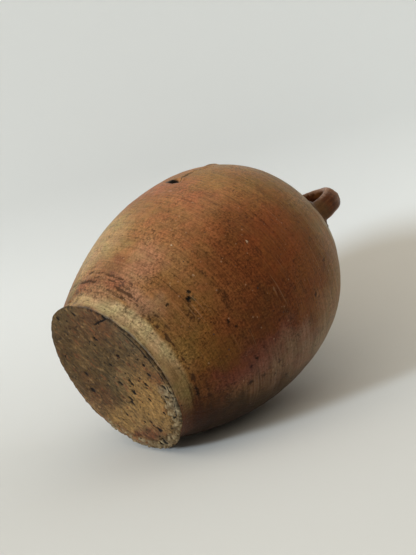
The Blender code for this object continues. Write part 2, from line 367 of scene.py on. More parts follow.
def outer_radius(height):
    """Radius of the wall's outside from the waist of the foot up to the shoulder's top."""
    if height <= BELLY_MID:
        share = (BELLY_MID - height) / (BELLY_MID - WAIST_HEIGHT)
        return BELLY_RADIUS - (BELLY_RADIUS - WAIST_RADIUS) * max(share, 0.0) ** LOWER_POWER
    share = min((height - BELLY_MID) / (SHOULDER_TOP - BELLY_MID), 1.0)
    width = (1 - share**RISE_POWER) ** (1 / WIDTH_POWER)
    top = NECK_RADIUS + NECK_FILLET
    return top + (BELLY_RADIUS - top) * width


def inner_radius(height):
    """Radius of the hollow from the floor of the jug up to the foot of the neck."""
    widest = BELLY_RADIUS - BELLY_WALL
    if height <= BELLY_MID:
        share = (BELLY_MID - height) / (BELLY_MID - BASE_TOP)
        return widest - (widest - outer_radius(BASE_TOP) + FOOT_WALL) * share**LOWER_POWER
    share = min((height - BELLY_MID) / (SHOULDER_TOP - SHOULDER_WALL - BELLY_MID), 1.0)
    width = (1 - share**RISE_POWER) ** (1 / WIDTH_POWER)
    return BORE_RADIUS + (widest - BORE_RADIUS) * width


def evenly(points, count):
    """The same line with count points at even steps along it, its last point left out."""
    line = np.array(points, float)
    run = np.concatenate([[0], np.cumsum(np.linalg.norm(np.diff(line, axis=0), axis=1))])
    steps = np.linspace(0, run[-1], count + 1)[:-1]
    return [(float(np.interp(s, run, line[:, 0])), float(np.interp(s, run, line[:, 1]))) for s in steps]


def bead(centre, half_width, half_height, start, end, count=24):
    """Points round part of an oval, from the start angle to the end angle in degrees."""
    angles = np.radians(np.linspace(start, end, count + 1))
    return [(centre[0] + half_width * math.cos(a), centre[1] + half_height * math.sin(a)) for a in angles]


def wall_outline():
    """Radius and height of each ring of the wall, once round it: up the outside, in over the rim, down
    the inside, across the floor of the jug and back under it to the first point, which closes it.
    Inside rings get skin 0."""
    fine = np.linspace(0, 1, 400)
    lip = FOOT_RADIUS
    foot = [(SLAB_HOLD, SLAB_TOP), (lip - 2 * MM, SLAB_TOP - 0.3 * MM)]
    foot += bead((lip - 1.2 * MM, 2.6 * MM), 0.9 * MM, 0.9 * MM, -80, 0, 4)
    foot += [(lip - 0.5 * MM, 3.6 * MM), (lip - 0.7 * MM, 5.0 * MM), (lip - 0.4 * MM, 7.0 * MM)]
    band = [(outer_radius(h), h) for h in BAND_START + (BAND_TOP - BAND_START) * fine]
    heights = BAND_TOP + (SHOULDER_TOP - BAND_TOP) * (1 - (1 - fine) ** 2)
    body = [(outer_radius(h), h) for h in heights]
    fillet_end = SHOULDER_TOP + NECK_FILLET
    fillet = bead((NECK_RADIUS + NECK_FILLET, fillet_end), NECK_FILLET, NECK_FILLET, 270, 180, 8)
    rim_half = (RIM_TOP - NECK_TOP) / 2
    rim_mid = (NECK_TOP + RIM_TOP) / 2
    rim_start = (NECK_RADIUS, rim_mid - rim_half * 0.9)
    rim = bead((RIM_RADIUS - rim_half, rim_mid), rim_half, rim_half, -70, 110, 16)
    rim_inner = [(BORE_RADIUS + 0.8 * MM, RIM_TOP - 1.2 * MM), (BORE_RADIUS, RIM_TOP - 3.4 * MM)]
    heights = BASE_TOP + (SHOULDER_TOP - SHOULDER_WALL - BASE_TOP) * (1 - fine) ** 1.5
    inside = [(inner_radius(h), h) for h in heights[::-1]][::-1]
    bore_end, floor_edge, floor_middle = inside[0], inside[-1], (0.0, BASE_TOP)
    outside = evenly(foot, FOOT_ROWS) + evenly(band, BAND_ROWS) + evenly(body, BODY_ROWS)
    outside += evenly([*fillet, rim_start, rim[0]], NECK_ROWS) + evenly(rim, RIM_ROWS)
    within = evenly([rim[-1], *rim_inner, bore_end], BORE_ROWS) + evenly(inside, INSIDE_ROWS)
    within += evenly([floor_edge, floor_middle], FLOOR_ROWS) + [floor_middle]
    under = evenly([(0.0, SLAB_TOP), (SLAB_HOLD, SLAB_TOP)], UNDER_ROWS)
    closing = outside[:1]
    points = outside + within + under + closing
    skin = [1.0] * len(outside) + [0.0] * (len(within) + len(under)) + [1.0]
    return points, skin


def outline_mesh():
    points, skin = wall_outline()
    mesh = bpy.data.meshes.new("outline")
    corners = [(radius, 0, height) for radius, height in points]
    mesh.from_pydata(corners, [(k, k + 1) for k in range(len(corners) - 1)], [])
    mark_points(mesh, "outside", skin)
    return mesh


# Dents and lumps of the wall: turn in degrees from the handle, height, half width, half height and
# how far they stand out, all but the first in millimetres
DENTS = [
    (-64.1, 116.8, 4.6, 3.0, -3.6),
    (-61, 120, 2.4, 3.0, 0.7),
    (-64, 131, 1.4, 9.0, 0.6),
    (-62, 146, 1.5, 9.0, 0.7),
    (-66, 157, 2.0, 5.0, 1.0),
    (-78, 5, 3.0, 2.2, -1.3),
    (-72, 9, 4.5, 1.1, -0.9),
    (-84, 8, 5.0, 1.6, -1.0),
    (-80, 24, 9.0, 3.0, -0.8),
    (-11, 40, 1.7, 1.6, -0.5),
    (13, 178, 16, 9, 0.8),
    (150, 3, 46.0, 4.5, 1.6),
    (45, 58, 6.0, 1.2, -0.35),
    (150, 95, 14.0, 10.0, -0.8),
    (115, 150, 10.0, 9.0, 0.5),
    (-140, 60, 16.0, 9.0, -0.7),
]

# Turned grooves of the foot: height, half width, depth, the turn where each is deepest, and its reach
GROOVES = [
    (20.5, 1.7, 0.45, -48, 60),
    (26.5, 1.4, 0.35, -60, 28),
    (23.4, 1.2, 0.30, -52, 26),
    (16.6, 1.5, 0.55, 2, 62),
    (12.2, 1.2, 0.22, 40, 110),
    (23.5, 1.2, 0.30, 130, 120),
    (14.5, 1.2, 0.30, -150, 90),
]


# How far aside a second noise is read from the first
ASIDE = (0.37, 0.11, 0.59)

# Pushes of the places round the wall: the noise's size, then how far it pushes in degrees and in
# millimetres. Dents and the marks of the scar share one, so that they lie on each other
TONE_PUSH = (24 * MM, 32, 26)
BAND_PUSH = (11 * MM, 14, 4)
MARK_PUSH = (2.1 * MM, 4, 3)
DENT_PUSH = (4 * MM, 2.4, 2.4)
DENT_SOFTNESS = 0.45


def around_tree(kind):
    """Turn in degrees from the handle and height in millimetres, both pushed about by noise."""
    takes = {"Place": "Vector", "Push size": 0.01, "Turn push": 0.0, "Height push": 0.0}
    gives = {"Turn": "Float", "Height": "Float"}
    tree, nodes, given, result = new_group("around the jug " + kind[:5], kind, takes, gives)
    part = nodes.split(given["Place"])
    turn = nodes.times(nodes.math("ARCTAN2", part["Y"], part["X"]), 180 / math.pi)
    height = nodes.times(part["Z"], 1 / MM)
    aside = nodes.vector("ADD", given["Place"], ASIDE)
    scale = nodes.over(1.0, given["Push size"])
    for value, place, push, gets in (
        (turn, given["Place"], given["Turn push"], "Turn"),
        (height, aside, given["Height push"], "Height"),
    ):
        bend = nodes.wave(place, scale, detail=3.0)
        nodes.feed(result[gets], nodes.plus(value, nodes.times(bend, push)))
    return tree


def around(nodes, place, push_size=0.01, turn_push=0.0, height_push=0.0):
    """Where a place is round the jug: the sockets of its turn and its height."""
    feeds = {"Place": place, "Push size": push_size, "Turn push": turn_push, "Height push": height_push}
    made = nodes.group(around_group[nodes.tree.bl_idname], feeds)
    return made["Turn"], made["Height"]


# What an oval patch is told: where a place is, then the patch's middle, half sizes and softness
PATCH_TAKES = {
    "Across": 0.0,
    "Up": 0.0,
    "Middle across": 0.0,
    "Middle up": 0.0,
    "Half across": 10.0,
    "Half up": 10.0,
    "Softness": 0.6,
}


def patch_tree(kind):
    """1 in the middle of an oval patch, and 0 outside it, from how far across and up a place is."""
    gives = {"Mask": "Float"}
    tree, nodes, given, result = new_group("patch " + kind[:5], kind, PATCH_TAKES, gives)
    apart = nodes.less(given["Across"], given["Middle across"])
    apart = nodes.over(nodes.math("WRAP", apart, 180, -180), given["Half across"])
    rise = nodes.over(nodes.less(given["Up"], given["Middle up"]), given["Half up"])
    squares = nodes.plus(nodes.times(apart, apart), nodes.times(rise, rise))
    full = nodes.less(1.0, given["Softness"])
    none = nodes.plus(1.0, given["Softness"])
    nodes.feed(result["Mask"], nodes.remap(nodes.math("SQRT", squares), full, none, 1.0, 0.0))
    return tree


def patch(nodes, spot, middle, half, softness):
    """The mask of one oval patch, where spot is the pair of sockets that say where a place is."""
    feeds = dict(zip(PATCH_TAKES, (*spot, *middle, *half, softness)))
    return nodes.group(patch_group[nodes.tree.bl_idname], feeds)["Mask"]


def degrees_wide(width, height):
    """Degrees round the wall that a width covers at a height, both in millimetres."""
    return math.degrees(width / (outer_radius(max(height * MM, WAIST_HEIGHT)) / MM))


def groove_depth(nodes, place, turn, height):
    """How deep the turned grooves of the foot are, in millimetres, in any tree. They wander and break."""
    wander = nodes.times(nodes.wave(place, 14.0), 3.0)
    nibble = nodes.wave(place, 210.0, detail=3.0, roughness=0.6)
    wander = nodes.plus(wander, nodes.times(nibble, 3.2))
    kept = nodes.remap(nodes.noise(place, 95.0, detail=4.0, roughness=0.65), 0.40, 0.60)
    deep = 0.0
    for at, half, depth, middle, reach in GROOVES:
        away = nodes.math("ABSOLUTE", nodes.less(nodes.plus(height, wander), at))
        line = nodes.remap(away, 0.0, half, depth, 0.0)
        apart = nodes.math("ABSOLUTE", nodes.math("WRAP", nodes.less(turn, middle), 180, -180))
        deep = nodes.plus(deep, nodes.ramped(line, (apart, reach * 0.4, reach, 1.0, 0.0)))
    return nodes.times(deep, kept)


def spun(nodes, outline, turn_steps):
    """The outline turned round Z: a grid whose rows take their place and their mark from its points,
    welded where its two ends meet. The sockets of place and mark come with it."""
    size = nodes.add("GeometryNodeAttributeDomainSize", {"Geometry": outline}, component="MESH")
    rows = size.outputs["Point Count"]
    columns = nodes.plus(turn_steps, 1)
    grid = nodes.add("GeometryNodeMeshGrid", {"Vertices X": columns, "Vertices Y": rows})
    index = nodes.add("GeometryNodeInputIndex").outputs[0]
    row = nodes.math("MODULO", index, rows)
    column = nodes.math("FLOOR", nodes.over(nodes.plus(index, 0.5), rows))
    angle = nodes.times(nodes.over(column, turn_steps), math.tau)

    def read(value, data_type):
        feeds = {"Geometry": outline, "Value": value, "Index": row}
        return nodes.add("GeometryNodeSampleIndex", feeds, data_type=data_type).outputs["Value"]

    position = nodes.add("GeometryNodeInputPosition").outputs[0]
    part = nodes.split(read(position, "FLOAT_VECTOR"))
    turned = nodes.add("ShaderNodeCombineXYZ", {
        "X": nodes.times(part["X"], nodes.math("COSINE", angle)),
        "Y": nodes.times(part["X"], nodes.math("SINE", angle)),
        "Z": part["Z"],
    }).outputs[0]
    mark = nodes.add("GeometryNodeInputNamedAttribute", {"Name": "outside"}, data_type="FLOAT")
    mark = mark.outputs["Attribute"]
    marked = nodes.add("GeometryNodeStoreNamedAttribute", {
        "Geometry": grid.outputs["Mesh"], "Name": "outside", "Value": read(mark, "FLOAT"),
    }, data_type="FLOAT", domain="POINT").outputs[0]
    form = nodes.add("GeometryNodeSetPosition", {"Geometry": marked, "Position": turned}).outputs[0]
    form = nodes.add("GeometryNodeMergeByDistance", {"Geometry": form, "Distance": SEAM_WELD}).outputs[0]
    return form, position, mark


def skin_lift(nodes, place, given):
    """How far a wobble, throwing rings and a rough skin lift the wall."""
    wobble = nodes.times(nodes.wave(place, 11.0, detail=1.0), given["Wobble"])
    pitch = nodes.over(1.0, given["Ring pitch"])
    tall = nodes.vector("MULTIPLY", place, (0.02, 0.02, 1.0))
    rings = nodes.times(nodes.wave(tall, pitch, detail=3.0, roughness=0.6), given["Ring depth"])
    skin = nodes.times(nodes.wave(place, 260.0, detail=3.0, roughness=0.65), given["Skin depth"])
    return nodes.plus(nodes.plus(wobble, rings), skin)


def dent_lift(nodes, place, spot, chip_depth):
    """How far dents, lumps, turned grooves and the chips of the foot lift or sink the wall."""
    turn, height = spot
    rough = nodes.wave(place, 170.0, detail=3.0, roughness=0.6)
    ragged = around(nodes, place, *DENT_PUSH)
    lift = 0.0
    for dent_turn, dent_height, half_width, half_height, out in DENTS:
        half = (degrees_wide(half_width, dent_height), half_height)
        mask = patch(nodes, ragged, (dent_turn, dent_height), half, DENT_SOFTNESS)
        lift = nodes.plus(lift, nodes.times(mask, out * MM))
    grooves = groove_depth(nodes, place, turn, height)
    lift = nodes.less(lift, nodes.times(grooves, MM))
    low = nodes.remap(height, 0.0, 4.5, 1.0, 0.0)
    worn_side = nodes.remap(turn, 5.0, 35.0, 0.25, 1.0)
    chips = nodes.times(nodes.times(nodes.remap(rough, 0.02, 0.16), low), worn_side)
    return nodes.less(lift, nodes.times(chips, chip_depth))


def smooth_in(nodes, form, clay):
    """The form as one smooth mesh in its material."""
    form = nodes.add("GeometryNodeSetShadeSmooth", {"Geometry": form}).outputs[0]
    form = nodes.add("GeometryNodeRealizeInstances", {"Geometry": form}).outputs[0]
    return nodes.add("GeometryNodeSetMaterial", {"Geometry": form, "Material": clay}).outputs[0]


def turned_tree():
    """Turns an outline round Z, then gives it throwing rings, a wobble, dents and a rough skin."""
    takes = {
        "Geometry": "Geometry", "Turn steps": 64, "Wobble": 0.0, "Ring depth": 0.0, "Ring pitch": 0.006,
        "Skin depth": 0.0, "Chip depth": 0.0, "Clay": "Material",
    }
    gives = {"Geometry": "Geometry"}
    tree, nodes, given, result = new_group("turned form", "GeometryNodeTree", takes, gives)
    form, place, outside = spun(nodes, given["Geometry"], given["Turn steps"])
    spot = around(nodes, place)
    lift = skin_lift(nodes, place, given)
    dents = dent_lift(nodes, place, spot, given["Chip depth"])
    lift = nodes.plus(lift, nodes.times(dents, outside))
    lift = nodes.ramped(lift, (spot[1], -0.5, 1.5, 0.35, 1.0))
    normal = nodes.add("GeometryNodeInputNormal").outputs[0]
    offset = nodes.vector("SCALE", normal, scale=lift)
    form = nodes.add("GeometryNodeSetPosition", {"Geometry": form, "Offset": offset}).outputs[0]
    nodes.feed(result["Geometry"], smooth_in(nodes, form, given["Clay"]))
    return tree


def grains_tree():
    """Scatters low round grains, half sunk, over the part of a form that an attribute marks."""
    takes = {
        "Geometry": "Geometry", "Where": "String", "Grains per square metre": 1000.0,
        "Least size": 0.0005, "Greatest size": 0.001, "Flatness": 0.5, "Seed": 1, "Clay": "Material",
    }
    gives = {"Geometry": "Geometry"}
    tree, nodes, given, result = new_group("scattered grains", "GeometryNodeTree", takes, gives)
    named = nodes.add("GeometryNodeInputNamedAttribute", {"Name": given["Where"]}, data_type="FLOAT")
    chosen = nodes.math("GREATER_THAN", named.outputs["Attribute"], 0.5)
    points = nodes.add("GeometryNodeDistributePointsOnFaces", {
        "Mesh": given["Geometry"],
        "Selection": chosen,
        "Density": given["Grains per square metre"],
        "Seed": given["Seed"],
    }).outputs
    feeds = {2: given["Least size"], 3: given["Greatest size"], 8: given["Seed"]}
    size = nodes.add("FunctionNodeRandomValue", feeds, data_type="FLOAT").outputs[1]
    low = nodes.times(size, given["Flatness"])
    scale = nodes.add("ShaderNodeCombineXYZ", {"X": size, "Y": size, "Z": low}).outputs[0]
    feeds = {"Segments": 8, "Rings": 5, "Radius": 0.5}
    grain = nodes.add("GeometryNodeMeshUVSphere", feeds).outputs["Mesh"]
    grains = nodes.add("GeometryNodeInstanceOnPoints", {
        "Points": points["Points"], "Instance": grain, "Rotation": points["Rotation"], "Scale": scale,
    }).outputs[0]
    nodes.feed(result["Geometry"], smooth_in(nodes, grains, given["Clay"]))
    return tree


def grown(name, start, tree, values):
    """A plain mesh piece: the start mesh as the geometry tree leaves it, with the tree's inputs set."""
    piece = placed(name, start)
    modifier = piece.modifiers.new("form", "NODES")
    modifier.node_group = tree
    for socket in tree.interface.items_tree:
        if socket.item_type == "SOCKET" and socket.in_out == "INPUT" and socket.name in values:
            modifier[socket.identifier] = values[socket.name]
    shaped = piece.evaluated_get(bpy.context.evaluated_depsgraph_get())
    mesh = bpy.data.meshes.new_from_object(shaped)
    piece.modifiers.remove(modifier)
    piece.data = mesh
    mesh.name = name
    finish_with = next(material for material in mesh.materials if material)
    mesh.materials.clear()
    mesh.materials.append(finish_with)
    mesh.polygons.foreach_set("material_index", [0] * len(mesh.polygons))
    return piece


# The cut base: a slab with pits, chips and the marks of the wire, in millimetres

BASE_STEPS = 176
STREAK_ANGLE = math.radians(69)

# Pits of the underside: place, half size and depth
PITS = [
    (-2.6, 21.6, 2.0, 1.6),
    (-0.2, 18.2, 2.0, 1.7),
    (9.4, 15.0, 2.0, 1.5),
    (11.6, 13.6, 1.1, 1.0),
    (15.3, 9.4, 1.7, 1.4),
    (15.6, 7.0, 1.5, 1.5),
    (2.6, 5.4, 1.9, 1.2),
    (20.9, 24.2, 1.5, 0.9),
    (28.6, 15.8, 1.0, 0.9),
    (31.0, 13.8, 1.8, 1.2),
    (26.2, 9.4, 1.0, 0.9),
    (29.4, 7.8, 1.0, 0.9),
    (25.0, -11.8, 1.7, 1.7),
    (8.1, -9.2, 1.4, 0.9),
    (15.2, -29.8, 1.9, 1.2),
    (-39.8, 0.4, 2.3, 1.1),
    (1.6, 39.0, 1.6, 1.6),
    (2.2, 42.4, 0.9, 0.9),
    (4.9, 46.2, 2.1, 1.4),
    (-5.6, 37.2, 0.9, 0.8),
    (-0.4, 55.8, 2.5, 2.2),
    (-5.6, 56.4, 2.0, 1.5),
    (45.0, 1.4, 1.3, 1.0),
    (42.6, 8.2, 1.5, 0.8),
    (54.4, -2.8, 1.3, 1.0),
    (26.8, 36.2, 1.4, 0.7),
    (8.8, -26.4, 1.2, 0.8),
    (-30.6, -12.4, 1.8, 0.8),
    (-20.8, 27.4, 1.4, 0.6),
    (14.0, -51.0, 1.5, 1.0),
    (-8.6, -55.4, 1.5, 1.0),
    (43.4, -38.0, 1.7, 1.5),
    (38.4, -37.2, 1.0, 0.8),
    (33.0, -36.8, 0.9, 0.7),
    (36.4, 30.0, 1.5, 1.4),
    (42.6, 27.0, 1.9, 1.6),
    (33.0, 41.0, 1.5, 1.3),
    (48.0, 20.6, 1.7, 1.5),
]

# Small pits scattered over the underside: their number, seed, and the radius that they keep within
FINE_PITS = 130
FINE_PITS_SEED = 20
CUT_RADIUS = 57

# The slab's edge: where its lumps are read, how far in from it the underside's relief ends, and the
# rings of its side, by how far they stand out from there and their share of the slab's thickness
EDGE_RADIUS = 59
EDGE_INSET = 0.55
EDGE_RINGS = ((0.38, 0.12), (0.55, 0.45), (0.42, 0.85), (-0.6, 1.0), (-5.0, 1.02))


def smooth_step(value, low, high):
    """0 below low, 1 above high, and smooth between them."""
    share = np.clip((np.asarray(value, float) - low) / (high - low), 0, 1)
    return share * share * (3 - 2 * share)


def lumps(x, y, size, octaves=1, seed=0.0):
    """Noise from -1 to 1 at each point, with lumps of about this size."""
    spots = zip(np.ravel(x) / size, np.ravel(y) / size)
    if octaves == 1:
        values = [noise.noise((u, v, seed)) for u, v in spots]
    else:
        values = [noise.fractal((u, v, seed), 0.9, 2.0, octaves) for u, v in spots]
    return np.array(values).reshape(np.shape(x))


def near_turn(turn, middle, half, soft):
    """1 where a turn in degrees is within half of the middle, falling to 0 over soft degrees."""
    apart = np.abs((turn - middle + 180) % 360 - 180)
    return 1 - smooth_step(apart, half, half + soft)


def base_edge(turn):
    """Radius of the slab's edge: pared back on one side, nibbled on another, rough all round."""
    x, y = np.cos(np.radians(turn)) * EDGE_RADIUS, np.sin(np.radians(turn)) * EDGE_RADIUS
    edge = FOOT_RADIUS / MM - 0.15 - 1.0 * near_turn(turn, -18, 46, 16)
    edge = edge + 2.2 * near_turn(turn, 135, 48, 26) + 1.2 * near_turn(turn, 150, 20, 20)
    edge = edge + 1.3 * near_turn(turn, 205, 50, 24) * (1 - near_turn(turn, 135, 48, 26))
    scallops = np.abs(np.sin(np.radians(turn) * 26 + 2.6 * lumps(x, y, 14, seed=3.0)))
    edge = edge - 0.9 * (scallops - 0.6) * near_turn(turn, 165, 38, 16)
    chips = smooth_step(lumps(x, y, 7, 3, seed=9.0), 0.15, 0.7) * near_turn(turn, 95, 50, 30)
    edge = edge - 0.9 * chips
    return edge + 0.28 * lumps(x, y, 5, 3, seed=5.0)


def along_cut(x, y):
    """How far each point lies along the way of the cutting wire, and across it."""
    way_x, way_y = math.cos(STREAK_ANGLE), math.sin(STREAK_ANGLE)
    return x * way_x + y * way_y, y * way_x - x * way_y


def wire_marks(x, y):
    """What the wire left: how far the underside is sunk, and its drag, torn patches and gouges."""
    along, across = along_cut(x, y)
    sunk = 0.35 + 0.7 * (1 - np.clip(np.hypot(x, y) / CUT_RADIUS, 0, 1) ** 2)
    sunk += 0.42 * lumps(x, y, 15, seed=1.0) + 0.22 * lumps(along / 1.6, across, 5.5, 2, seed=2.0)
    drag = lumps(along / 3.5, across, 2.0, 2, seed=4.0)
    sunk += 0.2 * drag + 0.22 * lumps(x, y, 2.2, 3, seed=6.0)
    torn = smooth_step(lumps(along / 2.2, across, 3.4, 3, seed=7.0), 0.25, 0.6)
    low_side = 1 - smooth_step(np.hypot(x + 15, y + 38), 22, 36)
    sunk -= 0.5 * torn * (0.45 + 0.55 * low_side)
    gouged = smooth_step(lumps(along / 3.2, across, 2.6, 2, seed=21.0), 0.22, 0.62)
    sunk += 0.55 * gouged * (0.4 + 0.6 * smooth_step(y, -20, 30))
    return sunk, drag, torn, gouged


def sink_pits(x, y, sunk):
    """Sinks the listed pits and the small scattered ones, and gives their mask."""
    pit = np.zeros_like(x)
    ragged = 0.3 * lumps(x, y, 1.6, seed=8.0)
    for at_x, at_y, half, depth in PITS:
        along, across = along_cut(x - at_x, y - at_y)
        reach = np.hypot(along / 1.5, across / 1.1) / half + ragged
        hole = 1 - smooth_step(reach, 0.35, 1.1)
        sunk += depth * hole
        pit = np.maximum(pit, hole)
    picker = np.random.default_rng(FINE_PITS_SEED)
    for _ in range(FINE_PITS):
        at_turn, at_radius = picker.uniform(0, math.tau), CUT_RADIUS * math.sqrt(picker.uniform(0, 1))
        half = picker.uniform(0.4, 1.0)
        away = np.hypot(x - at_radius * math.cos(at_turn), y - at_radius * math.sin(at_turn))
        hole = 1 - smooth_step(away / half, 0.4, 1.2)
        sunk += 0.6 * half * hole
        pit = np.maximum(pit, 0.75 * hole)
    return pit


def break_rim(x, y, radius, turn, sunk):
    """Breaks the rim away on one side, and gives the masks of the break and of the dirt in it."""
    inner = 53.0 - 6.5 * near_turn(turn, 37, 9, 14) + 2.6 * lumps(x, y, 7, 3, seed=11.0)
    broken_side = near_turn(turn, 88, 60, 12)
    broken = smooth_step(radius, inner, inner + 1.2) * broken_side
    chunks = lumps(x, y, 3.4, 2, seed=12.0)
    gaps = smooth_step(-chunks, 0.0, 0.3)
    sunk += broken * (0.9 * gaps - 0.35 * smooth_step(chunks, 0.0, 0.35))
    border = (1 - smooth_step(np.abs(radius - inner - 0.4), 0.3, 1.0)) * broken_side
    border = border * smooth_step(lumps(x, y, 8, seed=23.0), -0.25, 0.1)
    sunk += 0.6 * border
    return broken, np.maximum(broken * gaps, border)


def base_relief(x, y):
    """How far the underside is sunk at each point, and the masks of its pits, broken rim and dirt."""
    radius = np.hypot(x, y)
    turn = np.degrees(np.arctan2(y, x))
    sunk, drag, torn, gouged = wire_marks(x, y)
    pit = sink_pits(x, y, sunk)
    broken, dirt = break_rim(x, y, radius, turn, sunk)
    crack = np.abs(radius - (55.6 + 0.5 * lumps(x, y, 10, seed=13.0)))
    crack = (1 - smooth_step(crack, 0.2, 0.8)) * near_turn(turn, 12, 34, 14)
    sunk += 0.5 * crack
    slit = np.abs(y + 37.0 - 0.08 * (x - 35) + 0.6 * lumps(x, y, 6, seed=14.0))
    slit = (1 - smooth_step(slit, 0.25, 0.9)) * smooth_step(x, 23, 29)
    sunk += 0.8 * slit
    pit = np.maximum(pit, np.maximum(0.85 * crack, 0.8 * slit))
    sunk += 0.55 * smooth_step(radius, 56.5, 59)
    grime = smooth_step(0.55 * drag + 0.5 * lumps(x, y, 2.2, 3, seed=6.0), 0.05, 0.55)
    grime = np.maximum(np.maximum(grime, gouged) * (1 - broken), dirt)
    # Painted shadow: a patchy dark line along the rim on the pared side, the shade under the step of the
    # wall's foot, laid into the pits' mask
    dark_line = smooth_step(radius, 56.4, 57.6) * near_turn(turn, -16, 66, 14)
    pit = np.maximum(pit, 0.42 * dark_line * smooth_step(lumps(x, y, 3, 2, seed=22.0), -0.35, 0.1))
    return np.clip(sunk, 0.0, 2.1), {"pit": pit, "broken": broken, "grime": grime, "torn": torn}


def pressed_disc(count):
    """X and Y of an even grid of points pressed into a disc whose edge is the slab's."""
    u, v = np.meshgrid(np.linspace(-1, 1, count), np.linspace(-1, 1, count), indexing="ij")
    wide = np.abs(u) > np.abs(v)
    reach = np.where(wide, u, v)
    safe = np.where(reach == 0, 1, reach)
    turn = np.where(wide, math.pi / 4 * v / safe, math.pi / 2 - math.pi / 4 * u / safe)
    x, y = reach * np.cos(turn), reach * np.sin(turn)
    edge = base_edge(np.degrees(np.arctan2(y, x))) - EDGE_INSET
    return x * edge, y * edge


def cut_base(clay):
    """The slab: its relief on the pressed grid, a rough edge and a hidden flat top."""
    count = BASE_STEPS + 1
    x, y = pressed_disc(count)
    sunk, masks = base_relief(x, y)

    order = np.arange(count * count).reshape(count, count)
    round_edge = np.concatenate([order[:-1, 0], order[-1, :-1], order[:0:-1, -1], order[0, :0:-1]])
    edge_x, edge_y, edge_sunk = (part.ravel()[round_edge] for part in (x, y, sunk))
    edge_radius = np.hypot(edge_x, edge_y)
    top = SLAB_TOP / MM
    rings = []
    for out, share in EDGE_RINGS:
        rise = edge_sunk + (top - edge_sunk) * share
        wave = 0.18 * lumps(edge_x + 40 * share, edge_y, 2.2, 2, seed=15.0) * (share < 1)
        scale = (edge_radius + out + wave) / edge_radius
        rings.append(np.stack([edge_x * scale, edge_y * scale, rise], 1))
    corners = np.stack([x.ravel(), y.ravel(), sunk.ravel()], 1)
    middle = np.array([[0, 0, top * 1.02]])
    corners = np.concatenate([corners, *rings, middle]) * MM
    squares = np.stack([order[:-1, :-1], order[:-1, 1:], order[1:, 1:], order[1:, :-1]], -1)
    faces = [tuple(face) for face in squares.reshape(-1, 4).tolist()]
    here, size = round_edge.tolist(), len(round_edge)
    for ring in range(len(rings)):
        there = [count * count + ring * size + k for k in range(size)]
        faces += [(here[k - 1], here[k], there[k], there[k - 1]) for k in range(size)]
        here = there
    faces += [(here[k - 1], here[k], len(corners) - 1) for k in range(size)]

    mesh = bpy.data.meshes.new("cut_base")
    mesh.from_pydata(corners.tolist(), [], faces)
    mesh.validate()
    for name, mask in masks.items():
        rim = np.tile(mask.ravel()[round_edge], len(rings))
        mark_points(mesh, name, np.concatenate([mask.ravel(), rim, [0.0]]))
    return finished_piece("cut_base", mesh, clay)


def finished_piece(name, mesh, finish_with):
    """A smooth piece at the origin from a closed mesh, with its faces turned outwards."""
    bm = bmesh.new()
    bm.from_mesh(mesh)
    bmesh.ops.recalc_face_normals(bm, faces=bm.faces)
    bm.to_mesh(mesh)
    bm.free()
    mesh.shade_smooth()
    mesh.materials.append(finish_with)
    return placed(name, mesh)


# The handle: middle line of the strap from shoulder to neck, outwards, up and across, then its width
# and its thickness there

STRAP = [
    (61.0, 175.0, 1.8, 17.0, 8.0),
    (62.8, 180.5, 2.0, 16.6, 7.8),
    (64.3, 186.0, 2.2, 16.4, 7.6),
    (65.4, 191.0, 2.3, 17.0, 7.4),
    (66.0, 196.2, 2.2, 16.4, 7.3),
    (65.6, 200.9, 1.8, 16.6, 7.9),
    (64.8, 204.6, 1.4, 17.0, 8.3),
    (62.9, 208.2, 0.9, 17.4, 8.6),
    (59.9, 211.1, 0.4, 17.6, 8.6),
    (55.9, 213.0, 0.0, 17.8, 8.4),
    (50.6, 213.9, -0.7, 18.4, 8.0),
    (44.6, 213.7, -1.5, 19.4, 7.2),
    (38.9, 212.5, -2.3, 20.8, 6.7),
    (33.5, 210.8, -2.9, 22.0, 6.6),
    (27.9, 209.2, -3.3, 23.4, 6.8),
    (24.0, 208.0, -3.4, 24.0, 7.2),
]

# Clay pressed round its ends: place outwards, across and up, half sizes and lean in degrees
WADS = [
    (62.6, 0.8, 183.4, 4.6, 11.6, 9.5, -38),
    (65.4, 7.5, 180.4, 2.4, 4.0, 7.0, -37),
    (64.6, -6.5, 181.6, 2.2, 4.2, 6.4, -37),
    (68.4, 2.0, 177.4, 2.4, 5.0, 8.0, -34),
    (65.3, 10.2, 183.4, 2.2, 2.8, 6.0, -40),
    (66.8, 13.8, 180.8, 1.9, 1.5, 6.8, -43),
    (26.0, -3.4, 208.6, 6.0, 14.0, 5.4, 0),
    (26.5, 6.0, 207.8, 4.2, 4.5, 4.4, 0),
    (26.5, -12.5, 208.2, 4.0, 4.2, 4.4, 0),
]

STRAP_ROUND = 40
STRAP_RINGS = 90
STRAP_PASSES = 6
HANDLE_VOXEL = 0.65 * MM
RUB_SHARE = 0.5
RUB_PASSES = 9


